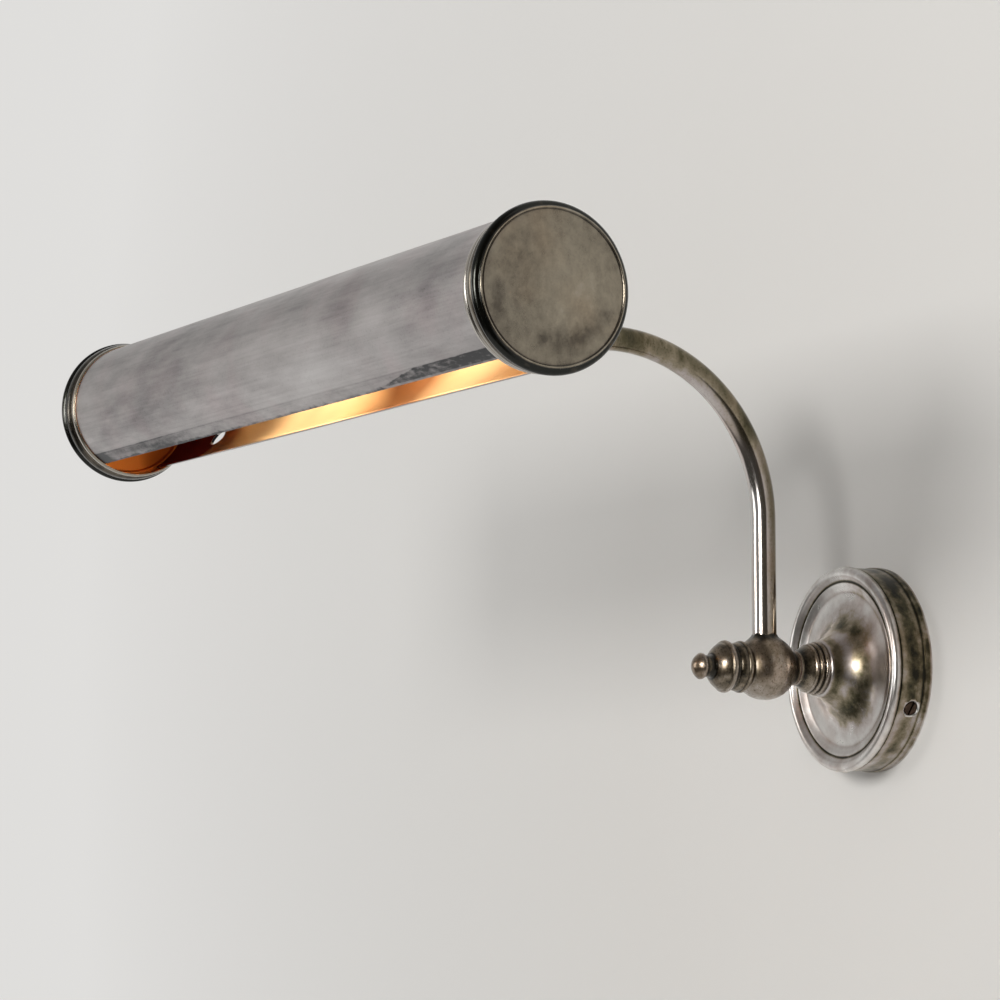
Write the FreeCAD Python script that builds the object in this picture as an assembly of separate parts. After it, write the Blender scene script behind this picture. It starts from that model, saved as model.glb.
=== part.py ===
import FreeCAD, Part
import os
from math import copysign, cos, degrees, radians, sin, sqrt, tan

V = FreeCAD.Vector
X_AXIS = V(1, 0, 0)
Y_AXIS = V(0, 1, 0)
Z_AXIS = V(0, 0, 1)
ORIGIN = V(0, 0, 0)

# Wall light with a swivelling arm and a slotted tube shade, in millimetres.
# The origin is the centre of the backplate on the wall. +Z is up, -Y points out
# into the room and X runs along the shade. "out" is a distance from the wall.

# Running and seating clearances
running_clearance = 0.05
loose_clearance = 0.2
nipple_clearance = 0.1

# Canopy, the round backplate cover spun from sheet
canopy_radius = 42.2
canopy_wall = 1.2
canopy_side_step = 0.5
canopy_lip = 3.4
canopy_depth = 18.1
canopy_bead = 2.2
canopy_rim_width = 6.1
bell_base_radius = 28.4
bell_top_radius = 11.6
bell_top = 28.3

# Wall bracket and what stands on it
bracket_gap = 5.5
bracket_thick = 2.0
bracket_cable_radius = 7.0
wall_slot_spacing = 50.0
wall_slot_radius = 2.3
wall_slot_length = 9.0
lug_width = 12.0
lug_thick = 2.0
lug_height = 12.5
lug_gap = 0.8
lug_root = 6.0
side_screw_out = 7.6
side_screw_turn = 25.0
side_screw_radius = 2.0
side_screw_head = 2.9
block_ways = 2
block_pitch = 11.0
block_barrel = 3.3
block_length = 14.0
block_height = 9.5
block_floor = 4.0
block_middle_z = -20.0
earth_screw_z = 20.0
earth_washer_thick = 0.8
fixing_radius = 1.75

# Spigot, the hollow turned post that carries the arm
spigot_radius = 5.0
spigot_bore = 3.2
spigot_tail = 15.0
stud_radius = 3.0
stud_end = 78.5
stem_nut_flats = 14.0
stem_nut_thick = 5.0
stem_washer_thick = 1.0
collar_length = 11.4
fibre_thick = 0.4

# Swivel ball, clamp ring and finial on the spigot
arm_out = 53.4
ball_radius = 13.25
ball_tail_radius = 7.15
ball_front = 10.3
ring_radius = 10.55
ring_thick = 5.3
finial_radius = 10.65
finial_length = 17.8
button_radius = 5.4

# Arm, one bent tube
arm_radius = 5.0
arm_wall = 1.0
arm_socket_z = 8.4
arm_boss_wall = 1.3
arm_rise = 60.3
arm_bend = 70.5
arm_turn = 97.0
arm_run = 65.6

# Tilt swivel between the arm and the shade
swivel_radius = 9.0
swivel_gap = 0.3
swivel_boss_wall = 2.0
swivel_clearance = 0.4
swivel_socket = 9.5
swivel_stand = 15.0
swivel_screw_radius = 2.0

# Shade tube, a rolled sheet with a lengthwise slot
shade_length = 400.0
shade_radius = 27.5
shade_wall = 1.0
slot_opening = 70.8
slot_lean = 1.2
vent_x = 147.5
vent_radius = 2.8
vent_angle = -41.0
cap_rim = 2.5
cap_skirt = 13.7
cap_wall = 1.1

# Inside the shade
saddle_radius = 9.5
saddle_height = 3.5
nipple_radius = 5.0
nipple_bore = 3.5
bar_width = 15.0
bar_thick = 1.5
bar_drop = 1.3
bar_half = 140.5
holder_radius = 12.5
holder_length = 36.0
bulb_radius = 12.5
bulb_length = 95.0
bulb_thread = 6.95
bulb_glass_wall = 0.8

# Wiring
stem_lead_radius = 2.4
shade_lead_radius = 1.5


def point(x, y):
    return V(x, y, 0)


def outline(start, *steps):
    # A closed face in the XY plane. A step (x, y) is a line to that point and
    # a step (xm, ym, x, y) is an arc through the first point to the second.
    edges = []
    at = point(*start)
    for step in steps + (start,):
        end = point(*step[-2:])
        if len(step) == 4:
            edges.append(Part.Arc(at, point(*step[:2]), end).toShape())
        elif at.distanceToPoint(end) > 1e-6:
            edges.append(Part.LineSegment(at, end).toShape())
        at = end
    return Part.Face(Part.Wire(edges))


def dome(tip, rise, radius):
    # The middle of a spherical arc that ends on the axis at tip. A negative
    # rise is a dome that points back along the axis.
    sphere = (radius ** 2 + rise ** 2) / (2 * rise)
    return (tip - sphere + copysign(sqrt(sphere ** 2 - radius ** 2 / 4), sphere), radius / 2)


def turned(start, *steps):
    # A solid turned about the X axis from (along, radius) points.
    return outline(start, *steps).revolve(ORIGIN, X_AXIS, 360)


def rod(radius, start, end):
    return Part.makeCylinder(radius, end - start, V(start, 0, 0), X_AXIS)


def ring(inner, outer, start, end):
    return rod(outer, start, end).cut(rod(inner, start, end))


def hex_nut(flats, bore, start, end):
    corner = flats / sqrt(3)
    sides = [V(start, corner * cos(radians(60 * k)), corner * sin(radians(60 * k))) for k in range(7)]
    prism = Part.Face(Part.makePolygon(sides)).extrude(V(end - start, 0, 0))
    rounding = rod(0.96 * corner, start, end)
    return prism.common(rounding).cut(rod(bore, start, end))


def outward(shape):
    # Turns what was made along +X to point out from the wall, along -Y.
    return shape.rotated(ORIGIN, Z_AXIS, -90)


def mirrored(shape):
    return shape.mirror(ORIGIN, X_AXIS)


def slotted_screw(head_radius, head_height, shank_radius, shank_length, driver=0.8):
    # A cheese-head screw along +X: the head stands from 0 to head_height.
    head = turned((0, 0), (0, head_radius), (head_height - 0.3, head_radius),
                  (head_height, head_radius - 0.3), (head_height, 0))
    screw = head.fuse(rod(shank_radius, -shank_length, 0)).removeSplitter()
    groove = Part.makeBox(head_height, 3 * head_radius, driver,
                          V(0.55 * head_height, -1.5 * head_radius, -driver / 2))
    return screw.cut(groove)


def along(radius, points, bends):
    # A round bar along straight runs joined by tangent arcs. points are the
    # corners of the route, and bends are the radii at its inner corners.
    pieces = []
    at = points[0]
    for corner, after, bend in zip(points[1:-1], points[2:], bends):
        arrive = (corner - at).normalize()
        leave = (after - corner).normalize()
        turn = arrive.getAngle(leave)
        axis = arrive.cross(leave)
        start = corner - arrive * (bend * tan(turn / 2))
        centre = start + axis.cross(arrive).normalize() * bend
        disc = Part.Face(Part.Wire(Part.makeCircle(radius, start, arrive)))
        pieces.append(Part.makeCylinder(radius, (start - at).Length, at, arrive))
        pieces.append(disc.revolve(centre, axis, degrees(turn)))
        at = corner + leave * (bend * tan(turn / 2))
    last = points[-1] - at
    pieces.append(Part.makeCylinder(radius, last.Length, at, last))
    return pieces[0].fuse(pieces[1:]).removeSplitter()


def save(name, *solids):
    shape = solids[0] if len(solids) == 1 else Part.makeCompound(list(solids))
    shape.exportStep("parts/" + name + ".step")
    count = len(shape.Solids)
    print(f"{name:24s} solids {count}  volume {shape.Volume:10.1f}  valid {shape.isValid()}")


# Canopy and wall bracket

dish_groove_radius = canopy_radius - canopy_rim_width
side_radius = canopy_radius - canopy_side_step
inner_side_radius = side_radius - canopy_wall
bead_out = canopy_depth - canopy_bead
bead_centre = canopy_radius - canopy_bead
bracket_radius = inner_side_radius - bracket_gap


def on_bead(angle):
    return (bead_out + canopy_bead * cos(radians(angle)), bead_centre + canopy_bead * sin(radians(angle)))


def in_lug_frame(shape, side):
    # side is 0 for the screw at four o'clock and 1 for the one at ten o'clock.
    return shape.rotated(ORIGIN, Y_AXIS, side_screw_turn + 180 * side)


def canopy():
    lip_end = canopy_lip
    dish_out = canopy_depth - 3.4
    bell_foot = (dish_out + 0.7, bell_base_radius)
    flat_radius = bell_top_radius - 0.5
    inside = bell_top - canopy_wall
    shell = turned(
        (0, inner_side_radius), (0, canopy_radius), (lip_end - 0.3, canopy_radius),
        (lip_end + 0.2, side_radius), (bead_out - 2.2, side_radius),
        on_bead(142), on_bead(45) + on_bead(-50),
        (bead_out + 0.5, dish_groove_radius + 0.8), (bead_out, dish_groove_radius + 0.2),
        (bead_out, dish_groove_radius - 0.2), (bead_out + 0.4, dish_groove_radius - 0.6),
        (dish_out + 0.3, dish_groove_radius - 3.4, dish_out, bell_base_radius + 1.2),
        bell_foot,
        (dish_out + 4.7, bell_base_radius - 10.8, bell_top - 0.6, bell_top_radius),
        (bell_top, flat_radius), (bell_top, spigot_radius + loose_clearance),
        (inside, spigot_radius + loose_clearance), (inside, flat_radius - canopy_wall + 0.3),
        (dish_out + 3.7, bell_base_radius - 11.6, dish_out - 0.6, bell_base_radius - 0.4),
        (dish_out - canopy_wall, bell_base_radius + 0.9),
        (dish_out - canopy_wall, dish_groove_radius - 2.0),
        (bead_out - 1.3, dish_groove_radius - 0.3), (bead_out - 1.0, dish_groove_radius + 2.1),
        (bead_out - 1.2, inner_side_radius - 0.6, bead_out - 2.7, inner_side_radius))
    hole = ring(0, side_screw_head + loose_clearance, inner_side_radius - 4, canopy_radius + 1)
    bevel = turned((side_radius - 0.5, 0), (side_radius - 0.5, side_screw_head + loose_clearance),
                   (canopy_radius, side_screw_head + loose_clearance + 0.7), (canopy_radius, 0))
    shell = outward(shell)
    for side in (0, 1):
        for tool in (hole, bevel):
            shell = shell.cut(in_lug_frame(tool.translated(V(0, -side_screw_out, 0)), side))
    return shell


def plate_slot(x_middle, length, radius):
    # A slot along X through the bracket plate.
    half = length / 2 - radius
    middle = Part.makeBox(2 * half, bracket_thick, 2 * radius, V(x_middle - half, -bracket_thick, -radius))
    ends = [Part.makeCylinder(radius, bracket_thick, V(x_middle + s * half, -bracket_thick, 0), Y_AXIS)
            for s in (-1, 1)]
    return middle.fuse(ends)


lug_face = inner_side_radius - lug_gap


def wall_bracket():
    notch = Part.makeBox(lug_root + 1, bracket_thick, lug_width,
                         V(bracket_radius - lug_root, -bracket_thick, -lug_width / 2))
    plate = outward(rod(bracket_radius, 0, bracket_thick))
    for side in (0, 1):
        plate = plate.cut(in_lug_frame(notch, side))
    plate = plate.cut(outward(rod(bracket_cable_radius, 0, bracket_thick)))
    for sign in (-1, 1):
        plate = plate.cut(plate_slot(sign * wall_slot_spacing / 2, wall_slot_length, wall_slot_radius))
    for tapped_z in (earth_screw_z, block_middle_z):
        plate = plate.cut(outward(rod(fixing_radius, 0, bracket_thick)).translated(V(0, 0, tapped_z)))
    return plate


def bracket_lug():
    root = bracket_radius - lug_root
    foot = Part.makeBox(lug_face - root, bracket_thick, lug_width, V(root, -bracket_thick, -lug_width / 2))
    upright = Part.makeBox(lug_thick, lug_height, lug_width,
                           V(lug_face - lug_thick, -lug_height, -lug_width / 2))
    corners = [e for e in upright.Edges if abs(e.CenterOfMass.y + lug_height) < 0.01
               and abs(abs(e.CenterOfMass.z) - lug_width / 2) < 0.01]
    upright = upright.makeFillet(lug_width / 4, corners)
    tapping = rod(side_screw_radius, lug_face - 2 * lug_thick, lug_face + 1)
    return foot.fuse(upright).removeSplitter().cut(tapping.translated(V(0, -side_screw_out, 0)))


def bracket_lugs():
    lug = bracket_lug()
    return [in_lug_frame(lug, side) for side in (0, 1)]


def side_screws():
    head_height = side_radius - lug_face - 0.35
    screw = slotted_screw(side_screw_head, head_height, side_screw_radius, lug_thick + 2.5)
    screw = screw.translated(V(lug_face, -side_screw_out, 0))
    return [in_lug_frame(screw, side) for side in (0, 1)]


def way_x(index):
    return (index - (block_ways - 1) / 2) * block_pitch


def on_bracket(shape, x, z):
    return outward(shape).translated(V(x, -bracket_thick, z))


def terminal_block():
    half_length = block_length / 2
    width = (block_ways - 1) * block_pitch
    base = Part.makeBox(width, block_floor, block_length - 3,
                        V(-width / 2, -block_floor, -half_length + 1.5))
    block = base
    for index in range(block_ways):
        barrel = Part.makeBox(2 * block_barrel, block_height, block_length,
                              V(way_x(index) - block_barrel, -block_height, -half_length))
        tops = [e for e in barrel.Edges if abs(e.CenterOfMass.y + block_height) < 0.01]
        block = block.fuse(barrel.makeFillet(1.0, tops))
    block = block.removeSplitter()
    for index in range(block_ways):
        way = Part.makeCylinder(1.9, block_length, V(way_x(index), -4.6, -half_length), Z_AXIS)
        block = block.cut(way)
        for end in (-1, 1):
            well = Part.makeCylinder(1.8, block_height, V(way_x(index), -block_height, end * 3.9), Y_AXIS)
            well = well.common(Part.makeBox(60, block_height - 5.0, 60, V(-30, -block_height, -30)))
            block = block.cut(well)
    fixing = Part.makeCylinder(fixing_radius + 0.1, block_height, V(0, -block_height, 0), Y_AXIS)
    head_room = Part.makeCylinder(3.0, block_height - block_floor, V(0, -block_height, 0), Y_AXIS)
    block = block.cut(fixing).cut(head_room)
    return block.translated(V(0, -bracket_thick, block_middle_z))


def terminal_inserts():
    tubes = []
    for index in range(block_ways):
        half = block_length / 2 - 1.0
        outer = Part.makeCylinder(1.9, 2 * half, V(way_x(index), -4.6, -half), Z_AXIS)
        bore = Part.makeCylinder(1.25, 2 * half, V(way_x(index), -4.6, -half), Z_AXIS)
        tubes.append(outer.cut(bore).translated(V(0, -bracket_thick, block_middle_z)))
    return tubes


def terminal_screws():
    screws = []
    for index in range(block_ways):
        for end in (-1, 1):
            screw = slotted_screw(1.7, 1.6, 1.2, 0.35, 0.5)
            tip_out = 4.6 + 1.9 + 0.35
            screws.append(on_bracket(screw.translated(V(tip_out, 0, 0)), way_x(index),
                                     block_middle_z + end * 3.9))
    return screws


def block_screw():
    screw = slotted_screw(2.8, 2.0, fixing_radius, block_floor + bracket_thick)
    return on_bracket(screw.translated(V(block_floor, 0, 0)), 0, block_middle_z)


def earth_screw():
    screw = slotted_screw(3.5, 2.4, fixing_radius, bracket_thick + earth_washer_thick)
    return on_bracket(screw.translated(V(earth_washer_thick, 0, 0)), 0, earth_screw_z)


def earth_washer():
    return on_bracket(ring(fixing_radius + 0.1, 4.5, 0, earth_washer_thick), 0, earth_screw_z)


# Spigot, collar, ball, clamp ring and finial

collar_out = bell_top
collar_end = collar_out + collar_length
ball_tail = collar_end + fibre_thick
ball_face = arm_out + ball_front
ring_out = ball_face + fibre_thick
finial_out = ring_out + ring_thick
canopy_seat = bell_top - canopy_wall
window_half = 2.9
window_low = 2.65


def spigot():
    journal_end = ball_face - 0.6
    bore_end = arm_out + 4.0
    post = turned((spigot_tail, spigot_bore), (spigot_tail, spigot_radius - 0.5),
                  (spigot_tail + 0.5, spigot_radius), (journal_end, spigot_radius),
                  (journal_end, stud_radius), (stud_end - 0.5, stud_radius),
                  (stud_end, stud_radius - 0.5), (stud_end, 0),
                  (bore_end + 1.5, 0), (bore_end, spigot_bore))
    reach = spigot_radius + 1
    window = Part.makeBox(2 * reach, 2 * window_half, window_low + reach,
                          V(-reach, -arm_out - window_half, -window_low))
    return outward(post).cut(window)


def stem_washer():
    return outward(ring(spigot_radius + loose_clearance, 9.0, canopy_seat - stem_washer_thick, canopy_seat))


def stem_nut():
    seat = canopy_seat - stem_washer_thick
    return outward(hex_nut(stem_nut_flats, spigot_radius, seat - stem_nut_thick, seat))


def collar():
    c = collar_out
    return outward(turned(
        (c, spigot_radius), (c, 10.5),
        (c + 1.1, 11.15, c + 2.1, 10.25), (c + 2.3, 10.0),
        (c + 3.4, 10.5, c + 4.3, 9.75), (c + 4.5, 9.55),
        (c + 5.5, 9.95, c + 6.3, 9.3), (c + 6.6, 9.2),
        (c + 8.5, 8.0, collar_end - 1.1, 7.0), (collar_end, 6.95), (collar_end, spigot_radius)))


def rear_fibre_washer():
    return outward(ring(spigot_radius + 0.1, 6.8, collar_end, ball_tail))


def swivel_ball():
    bore = spigot_radius + running_clearance
    blend = -9.5
    blend_radius = sqrt(ball_radius ** 2 - blend ** 2)
    face_radius = sqrt(ball_radius ** 2 - ball_front ** 2)
    body = outward(turned(
        (ball_tail, bore), (ball_tail, ball_tail_radius - 0.15),
        (ball_tail + 0.3, ball_tail_radius), (ball_tail + 0.9, ball_tail_radius),
        (arm_out + blend - 1.5, blend_radius - 1.45, arm_out + blend, blend_radius),
        (arm_out, ball_radius, ball_face, face_radius), (ball_face, bore)))
    boss_top = ball_radius + 0.9
    boss = Part.makeCylinder(arm_radius + arm_boss_wall, boss_top - arm_socket_z,
                             V(0, -arm_out, arm_socket_z), Z_AXIS)
    rim = [e for e in boss.Edges if abs(e.CenterOfMass.z - boss_top) < 0.01]
    body = body.fuse(boss.makeFillet(0.6, rim)).removeSplitter()
    socket = Part.makeCylinder(arm_radius, ball_radius, V(0, -arm_out, arm_socket_z), Z_AXIS)
    passage = Part.makeCylinder(arm_radius - arm_wall - 0.4, arm_socket_z, V(0, -arm_out, 0), Z_AXIS)
    return body.cut(socket).cut(passage)


def front_fibre_washer():
    return outward(ring(stud_radius + 0.15, 8.0, ball_face, ring_out))


def clamp_ring():
    c = ring_out
    r = ring_radius
    bore = stud_radius + running_clearance
    return outward(turned(
        (c, bore), (c, r - 0.95), (c + 0.2, r - 0.4),
        (c + 1.0, r, c + 1.9, r - 0.35), (c + 2.1, r - 0.6),
        (c + 4.0, r - 0.95, ring_out + ring_thick - 0.1, r - 1.9),
        (finial_out, r - 2.1), (finial_out, bore)))


def finial():
    f = finial_out
    r = finial_radius
    tip = f + finial_length
    bore = stud_radius + running_clearance
    bore_end = stud_end + 1.0
    lip_out = tip - 3.5
    return outward(turned(
        (f, bore), (f, r - 1.9), (f + 0.3, r - 1.6), (f + 1.7, r - 1.5), (f + 2.0, r - 0.7),
        (f + 3.1, r, f + 4.0, r - 0.35), (f + 4.4, r - 0.9),
        (f + 7.0, r - 2.6, f + 9.2, button_radius - 0.6),
        (f + 10.2, button_radius - 1.0), (lip_out - 1.6, button_radius - 1.0),
        (lip_out - 0.9, button_radius - 0.2), (lip_out, button_radius),
        dome(tip, 3.5, button_radius) + (tip, 0), (bore_end + 1.2, 0), (bore_end, bore)))


# Arm

bend_centre = V(0, -arm_out - arm_bend, arm_rise)
arm_lean = arm_turn - 90
swivel_half = arm_radius + swivel_boss_wall
swivel_reach = swivel_radius + 2
pivot_to_shade = shade_radius + saddle_height + swivel_stand
back_to_arm = V(0, cos(radians(arm_lean)), sin(radians(arm_lean)))
bend_end = bend_centre + V(0, arm_bend * cos(radians(arm_turn)), arm_bend * sin(radians(arm_turn)))
pivot = bend_end - back_to_arm * (arm_run + swivel_reach)
shade_centre = pivot - back_to_arm * pivot_to_shade


def arm_solid(radius, start_z, run):
    # A rise from the ball, one bend and a straight run towards the shade.
    start = V(0, -arm_out, start_z)
    corner = V(0, -arm_out, arm_rise + arm_bend * tan(radians(arm_turn / 2)))
    return along(radius, [start, corner, bend_end - back_to_arm * run], [arm_bend])


def arm_tube():
    inner = arm_radius - arm_wall
    return arm_solid(arm_radius, arm_socket_z, arm_run).cut(arm_solid(inner, arm_socket_z, arm_run))


def at_pivot(shape):
    # From a frame with Y back along the arm to the pivot's place.
    return shape.rotated(ORIGIN, X_AXIS, arm_lean).translated(pivot)


def swivel_half_blank(boss_end):
    # The half on the +X side. Its disc turns on the pivot and its boss stands
    # along +Y on the joint's middle, cut away where the other disc turns.
    disc = turned((swivel_gap, 0), (swivel_gap, swivel_radius), (swivel_half - 1, swivel_radius),
                  (swivel_half - 0.3, swivel_radius - 0.3, swivel_half, swivel_radius - 1),
                  (swivel_half, 0))
    boss = Part.makeCylinder(arm_radius + swivel_boss_wall, boss_end - 2, V(0, 2, 0), Y_AXIS)
    swept = rod(swivel_radius + swivel_clearance, -2 * swivel_half, swivel_gap)
    half = disc.fuse(boss.cut(swept)).removeSplitter()
    chamber = ring(swivel_screw_radius + 1.2, swivel_radius - 3, swivel_gap, swivel_half - 1.8)
    passage = Part.makeCylinder(swivel_radius - 5.4, boss_end, V(0, 4.6, 0), Y_AXIS)
    return half.cut(chamber).cut(passage)


def swivel_arm_half():
    end = swivel_reach + swivel_socket
    half = swivel_half_blank(end)
    half = half.cut(Part.makeCylinder(arm_radius, swivel_socket + 1, V(0, swivel_reach, 0), Y_AXIS))
    half = half.cut(rod(swivel_screw_radius + running_clearance, 0, swivel_half + 1))
    return at_pivot(half)


nipple_grip = 5.0


def swivel_shade_half():
    end = swivel_stand
    half = swivel_half_blank(end)
    half = half.cut(Part.makeCylinder(nipple_radius, end, V(0, end - nipple_grip, 0), Y_AXIS))
    half = half.cut(rod(swivel_screw_radius, 0, swivel_half + 1))
    return at_pivot(half.rotated(ORIGIN, Z_AXIS, 180))


def swivel_fibre_disc():
    return at_pivot(ring(swivel_radius - 2.8, swivel_radius - 0.2, -swivel_gap, swivel_gap))


spring_thick = 0.8


def swivel_spring():
    return at_pivot(ring(swivel_screw_radius + 0.15, 3.8, swivel_half, swivel_half + spring_thick))


def swivel_screw():
    reach = 2 * swivel_half + spring_thick - 0.5
    screw = slotted_screw(3.8, 2.6, swivel_screw_radius, reach)
    return at_pivot(screw.translated(V(swivel_half + spring_thick, 0, 0)))


# Shade: built about its own axis, with Y pointing back to the arm

shade_end = shade_length / 2
tube_end = shade_end - 4.0
shade_inner = shade_radius - shade_wall
slot_middle = -90 - slot_lean


def at_shade(shape):
    return shape.rotated(ORIGIN, X_AXIS, arm_lean).translated(shade_centre)


def shade_tube():
    # The section's ends lie at the slot's edges, so it is one open C.
    half_slot = slot_opening / 2
    angles = (slot_middle + half_slot, slot_middle + 180, slot_middle - half_slot + 360)

    def section_point(radius, angle):
        return V(-tube_end, radius * cos(radians(angle)), radius * sin(radians(angle)))

    outer = [section_point(shade_radius, a) for a in angles]
    inner = [section_point(shade_inner, a) for a in angles]
    edges = [Part.Arc(*outer).toShape(),
             Part.LineSegment(outer[2], inner[2]).toShape(),
             Part.Arc(inner[2], inner[1], inner[0]).toShape(),
             Part.LineSegment(inner[0], outer[0]).toShape()]
    tube = Part.Face(Part.Wire(edges)).extrude(V(2 * tube_end, 0, 0))
    entry = Part.makeCylinder(nipple_radius + nipple_clearance, 2 * shade_radius, ORIGIN, Y_AXIS)
    tube = tube.cut(entry)
    for x in (-vent_x, vent_x):
        vent = Part.makeCylinder(vent_radius, 2 * shade_radius, V(x, 0, 0), Y_AXIS)
        tube = tube.cut(vent.rotated(ORIGIN, X_AXIS, vent_angle))
    return at_shade(tube)


def end_cap():
    # The right-hand cap: two beads, a quarter round and a fine ridge round a domed face.
    e = shade_end
    s = e - cap_skirt
    seat = shade_radius + running_clearance
    rim = shade_radius + cap_rim
    face = rim - 3.5
    inner_face = shade_inner - 1.4
    return turned(
        (s, seat), (s, seat + 0.35), (s + 1.7, seat + 0.95, s + 3.3, seat + 0.45),
        (s + 3.6, seat + 0.45), (s + 6.3, rim - 0.7, s + 8.8, rim - 1.1),
        (s + 9.1, rim - 0.7), (s + 9.6, rim - 0.15), (s + 10.1, rim),
        (e - 2.2, rim - 0.5, e - 1.5, rim - 1.7), (e - 1.2, rim - 2.1),
        (e - 0.9, rim - 2.1), (e - 0.5, rim - 2.4, e - 0.7, rim - 2.9),
        (e - 1.0, rim - 3.2), (e - 0.8, face), dome(e, 0.8, face) + (e, 0),
        (e - cap_wall, 0), dome(e - cap_wall, 0.8, inner_face) + (e - cap_wall - 0.8, inner_face),
        (tube_end, shade_inner - 0.8), (tube_end, seat))


def saddle():
    top = shade_radius + saddle_height
    low = shade_radius - 3
    disc = turned((low, 0), (low, saddle_radius), (shade_radius + 1.6, saddle_radius),
                  (shade_radius + 2.7, saddle_radius - 0.6, top, saddle_radius - 2.0), (top, 0))
    disc = disc.cut(rod(nipple_radius + nipple_clearance, 0, top)).rotated(ORIGIN, Z_AXIS, 90)
    return at_shade(disc.cut(rod(shade_radius, -20, 20)))


bar_top = shade_inner - bar_drop
bar_low = bar_top - bar_thick
nipple_end = bar_low - 6.2


def along_entry(shape):
    return at_shade(shape.rotated(ORIGIN, Z_AXIS, 90))


def nipple():
    top = shade_radius + saddle_height + nipple_grip
    return along_entry(ring(nipple_bore, nipple_radius, nipple_end, top))


def lamp_bar():
    # A flat strip under the tube wall with both ends bent down to carry the lampholders.
    half = bar_width / 2
    strip = Part.makeBox(2 * bar_half, bar_thick, bar_width, V(-bar_half, bar_low, -half))
    bar = strip
    for sign in (-1, 1):
        x = sign * bar_half if sign < 0 else bar_half - bar_thick
        tab = Part.makeBox(bar_thick, bar_top, bar_width, V(x, 0, -half))
        end = rod(half, x, x + bar_thick)
        bar = bar.fuse([tab, end])
    bar = bar.removeSplitter()
    bends = [e for e in bar.Edges if abs(e.CenterOfMass.y - bar_top) < 0.01
             and abs(abs(e.CenterOfMass.x) - bar_half) < 0.01]
    bar = bar.makeFillet(bar_thick - 0.2, bends)
    bar = bar.cut(Part.makeCylinder(nipple_radius + nipple_clearance, shade_radius, ORIGIN, Y_AXIS))
    bar = bar.cut(rod(nipple_radius + nipple_clearance, -bar_half - 1, bar_half + 1))
    lead_hole = rod(shade_lead_radius + 0.5, -bar_half - 1, bar_half + 1)
    return at_shade(bar.cut(lead_hole.translated(V(0, lead_height, 0))))


def inner_washer():
    return along_entry(ring(nipple_radius + nipple_clearance, 8.0, bar_low - 1.0, bar_low))


def inner_nut():
    return along_entry(hex_nut(14.0, nipple_radius, nipple_end + 0.7, bar_low - 1.0))


# Lampholders and bulbs, made for the right-hand side and mirrored

holder_seat = bar_half - bar_thick
holder_mouth = holder_seat - holder_length
holder_joint = holder_seat - 12.0
insert_face = holder_joint - 6.0
bulb_foot = insert_face - 2.0


def holder_nut():
    return hex_nut(13.0, nipple_radius, bar_half, bar_half + 3.2)


def holder_nipple():
    return ring(nipple_bore, nipple_radius, holder_seat - 7.0, bar_half + 4.0)


def holder_base():
    shell = holder_radius
    return turned(
        (holder_seat, nipple_radius), (holder_seat, 7.6), (holder_seat - 0.6, 8.2),
        (holder_seat - 2.6, 8.4), (holder_seat - 5.0, 9.6, holder_seat - 6.6, shell - 0.3),
        (holder_seat - 7.4, shell), (holder_joint, shell), (holder_joint, shell - 1.6),
        (holder_seat - 8.4, shell - 1.6), (holder_seat - 7.4, shell - 3.0),
        (holder_seat - 7.4, nipple_radius))


def holder_body():
    shell = holder_radius
    return turned(
        (holder_joint, bulb_thread + 1.45), (holder_joint, shell - 0.2), (holder_joint - 2.0, shell - 0.2),
        (holder_joint - 2.5, shell - 0.9), (holder_mouth + 3.5, shell - 1.5),
        (holder_mouth + 3.0, shell - 1.0),
        (holder_mouth + 1.5, shell - 0.4, holder_mouth, shell - 1.2),
        (holder_mouth, bulb_thread + 1.45))


def holder_insert():
    outer = bulb_thread + 1.35
    return turned((holder_joint + 1.5, 0), (holder_joint + 1.5, outer),
                  (insert_face, outer), (insert_face, 0))


def holder_shell():
    return ring(bulb_thread + 0.1, bulb_thread + 0.6, holder_mouth + 2.0, insert_face)


def holder_contact():
    return turned((insert_face, 0), (insert_face, 3.2), (insert_face - 0.6, 3.2),
                  (insert_face - 1.4, 2.4), (bulb_foot, 1.6), (bulb_foot, 0))


skirt_start = holder_mouth - 2.0


def bulb_cap():
    foot = bulb_foot
    return turned(
        (foot, 0), (foot, 2.2), (foot - 0.6, 2.4), (foot - 0.8, 4.2), (foot - 2.6, bulb_thread - 0.6),
        (foot - 3.2, bulb_thread), (holder_mouth + 1.5, bulb_thread),
        (holder_mouth + 0.5, bulb_thread + 0.5),
        (skirt_start, bulb_thread + 1.2), (skirt_start - 2.0, bulb_thread + 1.2),
        (skirt_start - 2.0, bulb_thread + 0.7), (skirt_start - 0.5, bulb_thread + 0.7),
        (skirt_start + 0.3, bulb_thread + 0.1), (foot - 3.0, 3.6), (foot - 3.0, 0))


bulb_tip = bulb_foot - bulb_length


def bulb_glass():
    r = bulb_radius
    neck = bulb_thread + 0.65
    w = bulb_glass_wall
    start = skirt_start - 0.8
    shoulder = start - 9.0
    straight = bulb_tip + r
    return turned(
        (start, neck - w), (start, neck), (start - 2.5, neck),
        (start - 4.6, r - 2.2, shoulder, r), (straight, r),
        dome(bulb_tip, -r, r) + (bulb_tip, 0), (bulb_tip + w, 0),
        dome(bulb_tip + w, w - r, r - w) + (straight, r - w), (shoulder, r - w),
        (start - 4.2, r - 2.2 - w, start - 2.5, neck - w))


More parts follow.
